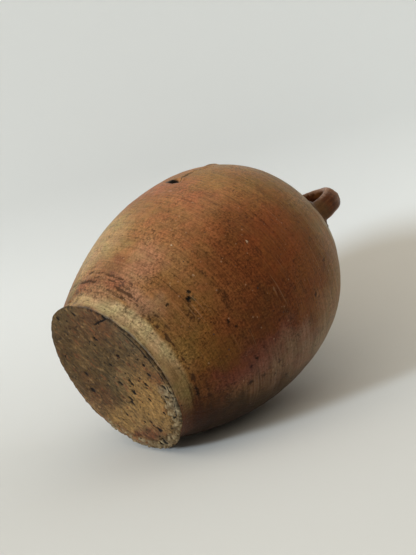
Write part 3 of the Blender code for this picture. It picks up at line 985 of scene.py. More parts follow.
def strap_mesh():
    """The strap as a closed tube of rounded flat sections, with two drawn grooves on its outer face."""
    table = np.array(STRAP)
    run = np.concatenate([[0], np.cumsum(np.linalg.norm(np.diff(table[:, :2], axis=0), axis=1))])
    steps = np.linspace(0, run[-1], STRAP_RINGS)
    line = np.stack([np.interp(steps, run, column) for column in table.T], 1)
    for _ in range(STRAP_PASSES):
        line[1:-1] = (line[:-2] + 2 * line[1:-1] + line[2:]) / 4
    along = np.gradient(line[:, :2], axis=0)
    along /= np.linalg.norm(along, axis=1)[:, None]
    corners = []
    for (out, up, across, width, thickness), (run_out, run_up) in zip(line, along):
        for angle in np.linspace(0, math.tau, STRAP_ROUND, endpoint=False):
            side = math.copysign(abs(math.cos(angle)) ** 0.85, math.cos(angle))
            face = math.copysign(abs(math.sin(angle)) ** 0.75, math.sin(angle))
            drawn = math.exp(-(((side - 0.35) / 0.15) ** 2)) + math.exp(-(((side + 0.3) / 0.2) ** 2))
            lift = thickness / 2 * face + (1.0 - 1.6 * side**2 - 0.55 * drawn) * max(face, 0)
            corners.append((out + run_up * lift, across + width / 2 * side, up - run_out * lift))
    faces = [tuple(range(STRAP_ROUND)), tuple(range(len(corners) - STRAP_ROUND, len(corners)))]
    for ring in range(STRAP_RINGS - 1):
        here, there = ring * STRAP_ROUND, (ring + 1) * STRAP_ROUND
        for k in range(STRAP_ROUND):
            after = (k + 1) % STRAP_ROUND
            faces.append((here + k, here + after, there + after, there + k))
    return corners, faces


def wet_clay():
    """Strap and wads run together into one mesh, rubbed smooth by the hand."""
    bm = bmesh.new()
    corners, faces = strap_mesh()
    made = [bm.verts.new(Vector(corner) * MM) for corner in corners]
    for face in faces:
        bm.faces.new([made[k] for k in face])
    for out, across, up, half_out, half_across, half_up, lean in WADS:
        place = Matrix.Translation(Vector((out, across, up)) * MM)
        place = place @ Matrix.Rotation(math.radians(lean), 4, "Y")
        place = place @ Matrix.Diagonal((half_out * MM, half_across * MM, half_up * MM, 1))
        bmesh.ops.create_icosphere(bm, subdivisions=3, radius=1, matrix=place)
    bmesh.ops.recalc_face_normals(bm, faces=bm.faces)
    mesh = bpy.data.meshes.new("strap_handle")
    bm.to_mesh(mesh)
    bm.free()
    start = placed("handle form", mesh)
    joined = start.modifiers.new("joined", "REMESH")
    joined.mode = "VOXEL"
    joined.voxel_size = HANDLE_VOXEL
    rubbed = start.modifiers.new("rubbed", "SMOOTH")
    rubbed.factor = RUB_SHARE
    rubbed.iterations = RUB_PASSES
    shaped = start.evaluated_get(bpy.context.evaluated_depsgraph_get())
    mesh = bpy.data.meshes.new_from_object(shaped)
    bpy.data.objects.remove(start)
    mesh.name = "strap_handle"
    return mesh


def strap_handle(clay):
    """The handle: wet clay drawn out lengthwise, its edges marked for a painted highlight and its root
    for the glaze.
    """
    mesh = wet_clay()
    for corner in mesh.vertices:
        x, y, z = corner.co / MM
        drawn = noise.fractal((y / 1.7, (x + z) / 26, 3.0), 0.9, 2.0, 2)
        pinched = noise.noise((x / 9, y / 9, z / 9))
        rough = noise.fractal((x / 1.6, y / 1.6, z / 1.6), 0.9, 2.0, 2)
        lift = 0.16 * drawn + 0.45 * pinched + 0.07 * rough
        corner.co += corner.normal * lift * MM

    table = np.array(STRAP)
    spots = np.array([corner.co for corner in mesh.vertices]) / MM
    apart = np.hypot(spots[:, :1] - table[:, 0], spots[:, 2:] - table[:, 1])
    nearest = table[apart.argmin(axis=1)]
    side = np.abs(spots[:, 1] - nearest[:, 2]) / (nearest[:, 3] / 2)
    root = 1 - smooth_step(spots[:, 2] - 0.6 * (spots[:, 0] - 62), 184, 190)
    root[spots[:, 0] < 40] = 0
    mark_points(mesh, "edge", smooth_step(side, 0.72, 0.95) * (1 - root))
    mark_points(mesh, "root", root)
    return finished_piece("strap_handle", mesh, clay)


# The glaze's tint on the light that it mirrors, and the tints of its two ways of flashing
GLAZE_SHINE = (1.0, 0.80, 0.55, 1.0)
GLAZE_BLOOM = (1.0, 0.92, 0.80, 1.0)
FLASHED_RED = (1.24, 1.08, 1.04, 1)
FLASHED_OLIVE = (1.12, 1.15, 1.03, 1)

# The wall's soft sheen, painted into its colour up the side that faces the lamp: its middle and half
# sizes round it and up
PAINTED_SHEEN_MIDDLE = (52.0, 104.0)
PAINTED_SHEEN_HALF = (15.0, 52.0)

# Effects that more than one finish uses, as shader groups


def specks_tree():
    """Scattered round specks: 1 inside those that are kept, and 0 elsewhere."""
    takes = {"Place": "Vector", "Scale": 500.0, "Share": 0.2, "Size": 0.25}
    tree, nodes, given, result = new_group("specks", "ShaderNodeTree", takes, {"Mask": "Float"})
    feeds = {"Vector": given["Place"], "Scale": given["Scale"]}
    cells = nodes.add("ShaderNodeTexVoronoi", feeds).outputs
    pick = nodes.add("ShaderNodeSeparateColor", {0: cells["Color"]}).outputs
    kept = nodes.math("LESS_THAN", pick[0], given["Share"])
    size = nodes.times(given["Size"], nodes.plus(pick[1], 0.5))
    dot = nodes.remap(cells["Distance"], nodes.times(size, 0.5), size, 1.0, 0.0)
    nodes.feed(result["Mask"], nodes.times(dot, kept))
    return tree


def specks(nodes, place, scale, share, size):
    """The mask of specks: cells in a metre, the share of them that is kept, and a speck's size."""
    feeds = {"Place": place, "Scale": scale, "Share": share, "Size": size}
    return nodes.group(specks_group, feeds)["Mask"]


def streaks_tree():
    """Fine lines drawn out along one way by a place that is squeezed along it: a tone from -1 to 1, and
    thin pale scratches from 0 to 1."""
    takes = {"Place": "Vector", "Squeeze": (0.03, 0.03, 1.0), "Pitch": 0.001, "Waver": 0.002}
    gives = {"Tone": "Float", "Scratch": "Float"}
    tree, nodes, given, result = new_group("drawn streaks", "ShaderNodeTree", takes, gives)
    bend = nodes.vector("SUBTRACT", nodes.noise(given["Place"], 30.0, output="Color"), (0.5, 0.5, 0.5))
    place = nodes.vector("ADD", given["Place"], nodes.vector("SCALE", bend, scale=given["Waver"]))
    place = nodes.vector("MULTIPLY", place, given["Squeeze"])
    pitch = nodes.over(1.0, given["Pitch"])
    line = nodes.noise(place, pitch, detail=3.0, roughness=0.65)
    nodes.feed(result["Tone"], nodes.remap(line, 0.3, 0.7, -1.0, 1.0))
    thin = nodes.noise(nodes.vector("ADD", place, (0.31, 0.17, 0.23)), pitch, detail=1.0)
    nodes.feed(result["Scratch"], nodes.remap(thin, 0.68, 0.76))
    return tree


def streaks(nodes, place, pitch, waver, squeeze=(0.03, 0.03, 1.0)):
    """The tone and the scratches of streaks, with their pitch and waver in millimetres."""
    feeds = {"Place": place, "Squeeze": squeeze, "Pitch": pitch * MM, "Waver": waver * MM}
    made = nodes.group(streaks_group, feeds)
    return made["Tone"], made["Scratch"]


def mottle_tree():
    """Blotchy tone from about -1 to 1, with finer blots inside those of its size."""
    takes = {"Place": "Vector", "Size": 0.002, "Contrast": 1.0}
    tree, nodes, given, result = new_group("mottle", "ShaderNodeTree", takes, {"Tone": "Float"})
    blot = nodes.wave(given["Place"], nodes.over(1.0, given["Size"]), detail=3.0, roughness=0.7)
    nodes.feed(result["Tone"], nodes.times(nodes.times(blot, 4.0), given["Contrast"]))
    return tree


def mottle(nodes, place, size, contrast=1.0):
    """A blotchy tone with its size in millimetres."""
    return nodes.group(mottle_group, {"Place": place, "Size": size * MM, "Contrast": contrast})["Tone"]


# Broad tones of the wall, placed one by one. Their first colours were guided by medians read from the
# photograph with its light divided out, and then changed by measuring renders against it: turn in
# degrees, height in millimetres, half sizes of both, softness, how strong, and the colour from 0 to 255.
# Each lies over those before it
WALL_TONES = [
    (150, 70, 60, 60, 0.6, 0.8, (103, 64, 33)),
    (-120, 100, 42, 70, 0.6, 0.8, (116, 80, 47)),
    (180, 150, 70, 40, 0.6, 0.7, (120, 87, 51)),
    (120, 28, 50, 20, 0.6, 0.8, (71, 42, 21)),
    (-150, 25, 40, 18, 0.6, 0.7, (108, 80, 47)),
    (-60, 85, 36, 72, 0.65, 1.0, (131, 89, 57)),
    (-84, 54, 27, 27, 0.5, 0.9, (126, 103, 64)),
    (-38, 150, 46, 34, 0.7, 0.9, (136, 101, 61)),
    (-6, 150, 34, 20, 0.7, 0.8, (112, 78, 40)),
    (14, 143, 22, 16, 0.6, 0.7, (99, 64, 30)),
    (-20, 176, 75, 20, 0.6, 0.9, (130, 101, 66)),
    (30, 172, 46, 22, 0.6, 0.7, (114, 89, 61)),
    (52, 142, 26, 30, 0.6, 0.8, (122, 95, 64)),
    (0, 106, 25, 32, 0.7, 0.8, (89, 45, 19)),
    (-58, 104, 20, 12, 0.7, 0.6, (136, 86, 61)),
    (26, 72, 17, 56, 0.6, 0.8, (83, 47, 23)),
    (36, 54, 10, 34, 0.6, 0.9, (83, 43, 31)),
    # Partly painted reflection: a grey-purple band of the glaze with a sheen painted into it
    (49, 76, 10, 52, 0.7, 0.8, (97, 70, 52)),
    (66, 58, 13, 50, 0.6, 0.9, (67, 47, 24)),
    (84, 34, 20, 34, 0.6, 0.9, (46, 29, 14)),
    (56, 18, 26, 12, 0.6, 0.9, (67, 36, 18)),
    (-36, 40, 24, 18, 0.6, 0.7, (126, 91, 59)),
    (-12, 34, 20, 14, 0.6, 0.7, (104, 68, 35)),
    (18, 26, 22, 18, 0.6, 0.7, (89, 57, 24)),
    (-38, 20, 30, 9, 0.6, 0.8, (116, 84, 54)),
    (-58, 27, 14, 9, 0.5, 0.9, (120, 76, 52)),
    (-60, 19, 15, 5, 0.5, 0.9, (106, 63, 42)),
    (-84, 24, 12, 8, 0.5, 0.7, (110, 89, 58)),
    (-10, 14, 30, 5, 0.6, 0.8, (110, 80, 42)),
    (-85, 50, 18, 26, 0.6, 0.85, (148, 123, 90)),
    (-76, 60, 8, 14, 0.6, 0.6, (150, 124, 82)),
    (-60, 25, 16, 8, 0.6, 0.6, (124, 86, 62)),
    (-14, 18, 18, 4, 0.6, 0.6, (84, 58, 32)),
    (-6, 88, 13, 15, 0.7, 0.55, (84, 46, 22)),
    (2, 27, 16, 9, 0.6, 0.8, (104, 76, 42)),
    (14, 30, 12, 9, 0.6, 0.6, (100, 70, 32)),
    (24, 14, 12, 6, 0.6, 0.6, (84, 66, 36)),
    (38, 62, 7, 34, 0.7, 0.85, (98, 66, 54)),
    (42, 92, 7, 24, 0.7, 0.8, (104, 80, 62)),
    (34, 30, 8, 14, 0.6, 0.8, (84, 44, 32)),
    (63, 58, 9, 36, 0.6, 0.8, (62, 45, 24)),
    (58, 130, 8, 17, 0.6, 0.7, (132, 118, 98)),
    (61, 102, 7, 16, 0.6, 0.6, (102, 82, 60)),
    (-65, 29, 9, 9, 0.6, 0.45, (112, 80, 52)),
    (-88, 20, 8, 9, 0.6, 0.6, (102, 86, 56)),
    (12, 16, 13, 8, 0.6, 0.35, (116, 86, 50)),
    (34, 19, 10, 9, 0.6, 0.5, (92, 58, 28)),
    (-15, 62, 9, 10, 0.6, 0.4, (92, 54, 22)),
    (-24, 80, 9, 8, 0.6, 0.35, (126, 80, 44)),
    (-4, 88, 9, 12, 0.6, 0.35, (102, 60, 30)),
    (38, 128, 10, 12, 0.6, 0.45, (118, 98, 72)),
    (52, 92, 8, 22, 0.6, 0.45, (118, 94, 76)),
    (-8, 118, 22, 22, 0.6, 0.4, (118, 66, 34)),
    (22, 118, 16, 16, 0.6, 0.4, (112, 66, 32)),
    # Painted sheen: pale glancing reflections on the shoulder beside the handle's root
    (-8, 178, 18, 5, 0.6, 0.55, (152, 138, 116)),
    (10, 178, 9, 7, 0.6, 0.6, (150, 138, 120)),
    (-42, 40, 10, 14, 0.6, 0.5, (142, 106, 82)),
    (-30, 21, 12, 5, 0.6, 0.6, (130, 100, 78)),
    # Painted shade: the dark where the wall lies close to the floor, its contact shadow laid into the
    # colour
    (84, 40, 22, 44, 0.6, 0.9, (36, 21, 9)),
    (62, 24, 16, 16, 0.6, 0.7, (38, 20, 9)),
    (130, 110, 34, 26, 0.7, 0.7, (126, 92, 54)),
    (-170, 64, 26, 22, 0.7, 0.6, (84, 46, 30)),
    (-130, 150, 30, 24, 0.7, 0.7, (120, 96, 60)),
    (0, 207, 900, 7, 0.6, 0.7, (76, 46, 26)),
    (0, 218, 900, 3, 0.6, 0.6, (126, 94, 64)),
]

# The pale band of the foot, in the same words
FOOT_TONES = [
    (-36, 8, 40, 5, 0.4, 0.9, (154, 137, 106)),
    (-10, 7, 50, 6.5, 0.35, 0.9, (146, 128, 95)),
    (-56, 14, 15, 5, 0.5, 0.8, (118, 90, 64)),
    (-70, 6, 14, 5, 0.5, 0.7, (148, 126, 88)),
    (27, 8, 19, 5, 0.5, 0.8, (112, 94, 60)),
    (68, 6, 26, 6, 0.5, 0.9, (78, 48, 32)),
    (180, 5, 80, 5, 0.5, 0.9, (128, 104, 72)),
    (-22, 0.8, 72, 1.5, 0.5, 0.85, (84, 78, 72)),
]

# Small marks of iron, ash and soot: turn, height, then half width and half height in millimetres,
# softness, how strong, and the colour from 0 to 255
WALL_MARKS = [
    (-63, 125, 1.4, 7.0, 0.6, 0.8, (72, 54, 34)),
    (-63, 137, 1.0, 8.0, 0.6, 0.8, (78, 60, 38)),
    (-64, 148, 1.2, 7.0, 0.6, 0.8, (74, 58, 36)),
    (-66, 157, 1.5, 6.0, 0.6, 0.8, (70, 56, 36)),
    (-11.0, 40.0, 2.0, 1.9, 0.45, 1.0, (16, 14, 10)),
    (-13.3, 42.8, 1.1, 1.5, 0.45, 0.95, (20, 17, 11)),
    (-9.6, 42.2, 1.8, 1.2, 0.45, 0.7, (44, 46, 30)),
    (-44.4, 23.7, 1.9, 2.2, 0.6, 0.9, (70, 46, 38)),
    (-75.6, 8.0, 1.1, 2.4, 0.5, 0.95, (46, 34, 24)),
    (-72.4, 12.0, 2.2, 0.9, 0.5, 0.9, (58, 42, 28)),
    (-80.0, 14.6, 2.0, 1.2, 0.5, 0.9, (64, 50, 32)),
    (-38.8, 25.1, 1.3, 1.6, 0.6, 0.9, (66, 42, 34)),
    (-31.2, 19.9, 2.0, 1.4, 0.6, 0.9, (64, 42, 32)),
    (-33.8, 12.9, 1.8, 1.2, 0.6, 0.9, (62, 46, 28)),
    (-17.4, 16.2, 3.4, 1.0, 0.6, 0.9, (56, 36, 22)),
    (-54.2, 27.9, 2.6, 0.9, 0.6, 0.8, (88, 56, 44)),
    (-74.5, 64.6, 3.6, 1.1, 0.6, 0.8, (98, 78, 42)),
    (-73.8, 54.5, 3.0, 1.1, 0.6, 0.8, (96, 76, 42)),
    (30.4, 64.4, 1.6, 0.8, 0.45, 0.7, (48, 26, 14)),
    (46.2, 49.6, 1.5, 1.9, 0.45, 0.8, (34, 24, 18)),
    (45.8, 60.5, 3.8, 0.9, 0.5, 0.85, (40, 26, 20)),
    (43.2, 73.4, 2.4, 0.8, 0.5, 0.8, (46, 30, 24)),
    (49.2, 69.8, 0.9, 0.8, 0.4, 0.9, (26, 18, 12)),
    (56.0, 81.5, 1.1, 1.0, 0.4, 0.9, (30, 20, 12)),
    (36.5, 52.1, 1.2, 1.1, 0.4, 0.9, (34, 20, 20)),
    (33.5, 57.1, 1.2, 1.4, 0.4, 0.95, (26, 14, 10)),
    (18.3, 143.7, 1.2, 1.8, 0.45, 0.8, (60, 34, 16)),
    (-3.9, 34.3, 3.4, 1.8, 0.6, 0.9, (56, 34, 18)),
    (32.4, 15.6, 1.2, 1.2, 0.4, 0.95, (24, 16, 9)),
    (36.5, 15.7, 1.6, 1.2, 0.4, 0.95, (24, 16, 9)),
    (-14.5, 57.5, 2.6, 1.3, 0.5, 0.7, (48, 30, 16)),
    (-16.0, 56.8, 0.9, 2.0, 0.5, 0.7, (48, 30, 16)),
    (-10.8, 59.8, 1.8, 1.0, 0.5, 0.7, (50, 30, 16)),
    (-10.4, 62.0, 1.0, 0.9, 0.5, 0.8, (44, 26, 14)),
    (-1.0, 57.2, 5.5, 2.2, 0.6, 0.75, (44, 26, 12)),
    (3.0, 55.4, 5.0, 1.6, 0.6, 0.7, (46, 28, 13)),
    (-1.8, 60.0, 2.4, 1.4, 0.6, 0.5, (58, 34, 16)),
    (-6.4, 94.6, 3.6, 3.0, 0.6, 0.7, (56, 34, 18)),
    (-1.8, 89.0, 2.2, 1.6, 0.6, 0.5, (62, 32, 16)),
    (6.0, 79.5, 5.5, 2.4, 0.6, 0.5, (66, 36, 18)),
    (1.0, 78.5, 3.0, 1.4, 0.6, 0.4, (66, 36, 18)),
    (-20, 106, 3.8, 1.4, 0.6, 0.35, (74, 44, 26)),
    (9.2, 50.2, 1.1, 1.0, 0.4, 0.9, (22, 14, 8)),
    (13.4, 52.8, 1.2, 1.0, 0.4, 0.9, (22, 14, 8)),
    (-16.3, 28.7, 1.2, 0.9, 0.4, 0.9, (26, 20, 12)),
    (27, 120.4, 1.4, 1.5, 0.4, 0.9, (32, 18, 10)),
    (29.4, 123.4, 1.3, 0.8, 0.4, 0.8, (40, 24, 14)),
    (33.5, 56.8, 2.6, 1.4, 0.5, 0.8, (34, 18, 10)),
    (36.5, 52, 3.6, 1.6, 0.5, 0.7, (46, 22, 22)),
    (45.4, 49.4, 1.8, 2.2, 0.5, 0.75, (44, 30, 20)),
    (46, 60.5, 1.2, 2.2, 0.5, 0.7, (50, 32, 22)),
    (49, 69.4, 1.6, 0.9, 0.5, 0.75, (46, 30, 20)),
    (43, 73, 1.0, 1.8, 0.5, 0.7, (50, 32, 24)),
    (56, 81, 1.6, 1.2, 0.5, 0.8, (36, 24, 14)),
    (52, 33, 3.2, 1.4, 0.5, 0.7, (40, 24, 14)),
    (20.2, 139.6, 1.6, 3.6, 0.5, 0.6, (70, 40, 18)),
    (-3, 156, 2.0, 3.0, 0.6, 0.35, (84, 62, 40)),
    (-6, 170, 5.0, 1.6, 0.6, 0.4, (92, 76, 58)),
    (36.5, 22.5, 6.5, 1.1, 0.5, 0.8, (40, 22, 11)),
    (34.5, 16, 4.6, 0.8, 0.5, 0.9, (30, 17, 9)),
    (50, 14, 12, 2.4, 0.6, 0.8, (52, 22, 16)),
    (-5.8, 34, 4.0, 1.6, 0.6, 0.6, (58, 36, 18)),
    (-2, 29.6, 7.0, 1.0, 0.6, 0.4, (70, 46, 24)),
    (-40, 26, 2.6, 3.4, 0.6, 0.5, (84, 58, 42)),
    (-52, 27, 5.0, 3.0, 0.6, 0.4, (92, 62, 46)),
    (-33, 12, 2.2, 3.2, 0.6, 0.6, (72, 54, 34)),
    (-24, 13, 3.0, 1.4, 0.6, 0.5, (70, 52, 32)),
    (-78, 66, 6.0, 2.4, 0.6, 0.6, (104, 82, 50)),
    (-72, 61, 8.0, 1.6, 0.6, 0.4, (106, 84, 52)),
    (-80, 55, 5.0, 2.0, 0.6, 0.4, (108, 88, 58)),
    (-84, 22, 8.0, 3.0, 0.6, 0.7, (74, 58, 36)),
    (-80, 12, 7.0, 2.0, 0.6, 0.8, (66, 50, 30)),
    (-76, 5, 4.0, 2.0, 0.5, 0.9, (50, 38, 24)),
    (-35, 59.5, 0.8, 0.6, 0.4, 0.7, (190, 176, 150)),
    (-11.8, 94.5, 0.7, 0.7, 0.4, 0.8, (190, 168, 136)),
    (-42.6, 96, 1.2, 0.5, 0.4, 0.5, (176, 146, 112)),
    (-42.6, 81, 1.0, 0.6, 0.4, 0.5, (176, 146, 112)),
    (-59, 101.5, 1.6, 0.8, 0.4, 0.7, (180, 134, 112)),
    (12, 88.6, 3.0, 0.6, 0.5, 0.5, (160, 132, 100)),
    (-17, 52, 0.6, 0.6, 0.4, 0.5, (170, 140, 110)),
]

# The deep scar of the wall, in the same words: its black hole and the line drawn up from it
SCAR_MARKS = [
    (-66.2, 116.7, 6.4, 3.0, 0.2, 1.0, (6, 5, 4)),
    (-62.6, 121.5, 1.0, 3.5, 0.5, 0.85, (40, 30, 20)),
    (-62.8, 128.0, 0.7, 5.0, 0.5, 0.8, (64, 48, 30)),
]

# Tones of the underside, their colours found as the wall's were, by place in millimetres: x, y, half
# sizes, softness, how strong, colour
BASE_TONES = [
    (10, 24, 36, 26, 0.6, 0.9, (114, 90, 58)),
    (-30, 30, 22, 12, 0.5, 0.9, (134, 102, 60)),
    (-20, 5, 24, 13, 0.5, 0.9, (66, 50, 28)),
    (-14, 47, 24, 6, 0.5, 0.9, (94, 58, 38)),
    (3, 2, 11, 8, 0.7, 0.7, (110, 90, 60)),
    (-2, -13, 30, 8, 0.6, 0.8, (66, 51, 29)),
    (30, -38, 19, 13, 0.6, 0.8, (90, 56, 35)),
    (8, -40, 22, 10, 0.6, 0.7, (84, 58, 36)),
    (40, 6, 15, 11, 0.6, 0.7, (106, 76, 44)),
    (46, 14, 6, 5, 0.6, 0.7, (100, 60, 36)),
    (22, -14, 16, 9, 0.6, 0.6, (72, 54, 32)),
    (-30, -38, 18, 12, 0.6, 0.8, (62, 44, 24)),
    (-22, -22, 7, 5, 0.6, 0.7, (118, 90, 56)),
    (-12, -34, 6, 4, 0.6, 0.7, (120, 88, 52)),
    (-32, -10, 9, 4, 0.6, 0.6, (104, 66, 40)),
    (-53, 2, 6, 26, 0.6, 0.7, (88, 68, 46)),
    (44, 31, 6, 11, 0.5, 0.9, (134, 128, 110)),
    (50, -22, 8, 16, 0.6, 0.6, (88, 72, 50)),
    (18, 26, 26, 20, 0.6, 0.7, (142, 106, 58)),
    (-34, 6, 16, 14, 0.6, 0.4, (106, 66, 40)),
    (-2, -4, 12, 22, 0.6, 0.5, (66, 54, 34)),
    (-8, -24, 40, 26, 0.6, 0.4, (92, 68, 38)),
    (-34, -14, 16, 18, 0.6, 0.45, (66, 46, 20)),
    (-2, -38, 12, 9, 0.6, 0.4, (72, 48, 26)),
]


def new_material(name):
    """A material with an empty board of nodes, its place on the piece, and its shader."""
    material = bpy.data.materials.new(name)
    material.use_nodes = True
    nodes = Nodes(material.node_tree)
    place = nodes.add("ShaderNodeTexCoord").outputs["Object"]
    return material, nodes, place, material.node_tree.nodes["Principled BSDF"]


def toned(nodes, colour, spot, tones, in_millimetres=False, crumb=1.0):
    """The colour with every tone or mark of a list laid over it, at its place across and up. A crumb
    mask breaks up the soft ones."""
    for middle_across, middle_up, half_across, half_up, soft, share, tone in tones:
        if in_millimetres:
            half_across = degrees_wide(half_across, middle_up)
        mask = patch(nodes, spot, (middle_across, middle_up), (half_across, half_up), soft)
        cover = nodes.times(mask, share)
        if soft >= 0.5:
            cover = nodes.times(cover, crumb)
        colour = nodes.mix(cover, colour, srgb(*tone))
    return colour


def shaded(nodes, colour, tone):
    """The colour made lighter or darker by a tone, where 0 leaves it as it is."""
    value = nodes.math("MAXIMUM", nodes.plus(tone, 1.0), 0.25)
    grey = nodes.add("ShaderNodeCombineColor", {0: value, 1: value, 2: value}).outputs[0]
    return nodes.mix(1.0, colour, grey, blend="MULTIPLY")


def attribute(nodes, name):
    return nodes.add("ShaderNodeAttribute", attribute_name=name).outputs["Fac"]


def total(nodes, *terms):
    """The sum of sockets, each with its weight."""
    result = 0.0
    for value, weight in terms:
        result = nodes.plus(result, nodes.times(value, weight))
    return result


def bumped(nodes, shader, height):
    """Relief too fine for the mesh, from a height in millimetres."""
    bump = nodes.add("ShaderNodeBump", {"Height": nodes.times(height, MM), "Distance": 1.0})
    nodes.feed(shader.inputs["Normal"], bump.outputs[0])


def flashed_tones(nodes, place):
    """The wall's broad tones, with those of the pale band of the foot over them."""
    colour = toned(nodes, srgb(98, 60, 32), around(nodes, place, *TONE_PUSH), WALL_TONES)
    colour = toned(nodes, colour, around(nodes, place, *BAND_PUSH), FOOT_TONES)
    drift = nodes.remap(nodes.noise(place, 75.0, detail=4.0, roughness=0.6), 0.36, 0.64)
    return nodes.mix(1.0, colour, nodes.mix(drift, FLASHED_RED, FLASHED_OLIVE), blend="MULTIPLY")


def wall_marks(nodes, place, spot, grain, colour):
    """The colour darkened along the grooves of the foot, with the small marks and the scar. The mask of
    the darkened grooves comes with it."""
    dark_line = nodes.remap(groove_depth(nodes, place, *spot), 0.04, 0.28)
    colour = nodes.coated(colour, (dark_line, 0.85, (58, 38, 24)))
    crumb = nodes.remap(grain, -0.5, 0.45, 1.0, 0.25)
    marked = around(nodes, place, *MARK_PUSH)
    colour = toned(nodes, colour, marked, WALL_MARKS, in_millimetres=True, crumb=crumb)
    scarred = around(nodes, place, *DENT_PUSH)
    return toned(nodes, colour, scarred, SCAR_MARKS, in_millimetres=True), dark_line


def wall_material():
    """Salt-glazed stoneware, flashed pink, rust and olive by the kiln, over a pale band at the foot."""
    material, nodes, place, shader = new_material("salt glazed stoneware")
    spot = around(nodes, place)
    height = spot[1]
    outside = attribute(nodes, "outside")
    colour = flashed_tones(nodes, place)

    coarse, _ = streaks(nodes, place, 5, 3)
    fine, scratch = streaks(nodes, place, 1.3, 1.5)
    blot = mottle(nodes, place, 7, 0.9)
    grain = mottle(nodes, place, 1.5)
    soft = mottle(nodes, place, 3.4)
    rough = nodes.remap(nodes.noise(place, 42.0, detail=3.0), 0.42, 0.62, 0.6, 1.4)
    rough = nodes.ramped(rough, (height, 15.0, 70.0, 0.72, 0.46), (height, 8.0, 17.0, 0.6, 1.0))
    grit = nodes.times(grain, rough)
    tone = total(nodes, (coarse, 0.08), (fine, 0.17), (blot, 0.17), (soft, 0.26), (grit, 1.1))
    colour = shaded(nodes, colour, tone)

    # Painted sheen: a pale reflection laid into the colour, broken by grain and streaks
    painted_sheen = patch(nodes, spot, PAINTED_SHEEN_MIDDLE, PAINTED_SHEEN_HALF, 0.6)
    painted_sheen = nodes.ramped(painted_sheen, (grain, -0.7, 0.5, 0.3, 1.0), (coarse, -0.8, 0.8, 0.35, 1.0),
                         (fine, -0.6, 1.0, 0.02, 0.3))
    colour = nodes.mix(painted_sheen, colour, srgb(158, 140, 122))
    colour, dark_line = wall_marks(nodes, place, spot, grain, colour)

    dark = nodes.times(specks(nodes, place, 480.0, 0.22, 0.30), rough)
    large = specks(nodes, place, 170.0, 0.14, 0.13)
    # Pale specks: light grains in the glaze, and in part painted glints of its rough skin
    pale = specks(nodes, place, 420.0, 0.06, 0.24)
    colour = nodes.coated(
        colour,
        (dark, 0.7, (50, 30, 16)),
        (large, 0.6, (40, 24, 14)),
        (pale, 0.35, (178, 142, 112)),
        (scratch, 0.22, (170, 130, 98)),
    )
    _, stroke = streaks(nodes, nodes.vector("ADD", place, (0.2, 0.5, 0.3)), 1.9, 5)
    stroke = nodes.ramped(stroke, (height, 90.0, 20.0, 0.0, 0.75), (grain, -0.4, 0.5, 1.0, 0.2))
    colour = nodes.mix(stroke, colour, srgb(60, 38, 22))

    within = nodes.mix(nodes.remap(coarse, -1.0, 1.0), srgb(84, 56, 38), srgb(118, 84, 60))
    colour = nodes.mix(outside, within, colour)
    rough = total(nodes, (blot, 0.05), (grain, 0.05), (dark_line, 0.2), (pale, -0.1))
    nodes.fill(shader, {
        "Base Color": colour,
        "Roughness": nodes.math("ADD", rough, 0.46, clamp=True),
        "Specular IOR Level": 0.09,
        "Specular Tint": GLAZE_SHINE,
        "Sheen Weight": 0.09,
        "Sheen Roughness": 0.3,
        "Sheen Tint": GLAZE_BLOOM,
    })
    relief = total(nodes, (grain, 0.12), (fine, 0.05), (dark, -0.1), (large, -0.2), (pale, 0.08))
    bumped(nodes, shader, relief)
    return material


# How the places of the underside's tones are pushed about: the noise's scale, and millimetres
BASE_PUSH_SCALE = 90.0
BASE_PUSH = 18.0

# How streaks are squeezed along the way of the cutting wire, and along the strap
CUT_SQUEEZE = (0.4, 1.0, 1.0)
STRAP_SQUEEZE = (0.07, 1.0, 0.07)

# Where the strap grows lighter towards its crown, and where it darkens towards the neck
CROWN_RISE = (199 * MM, 212 * MM)
INWARD_REACH = (52 * MM, 38 * MM)


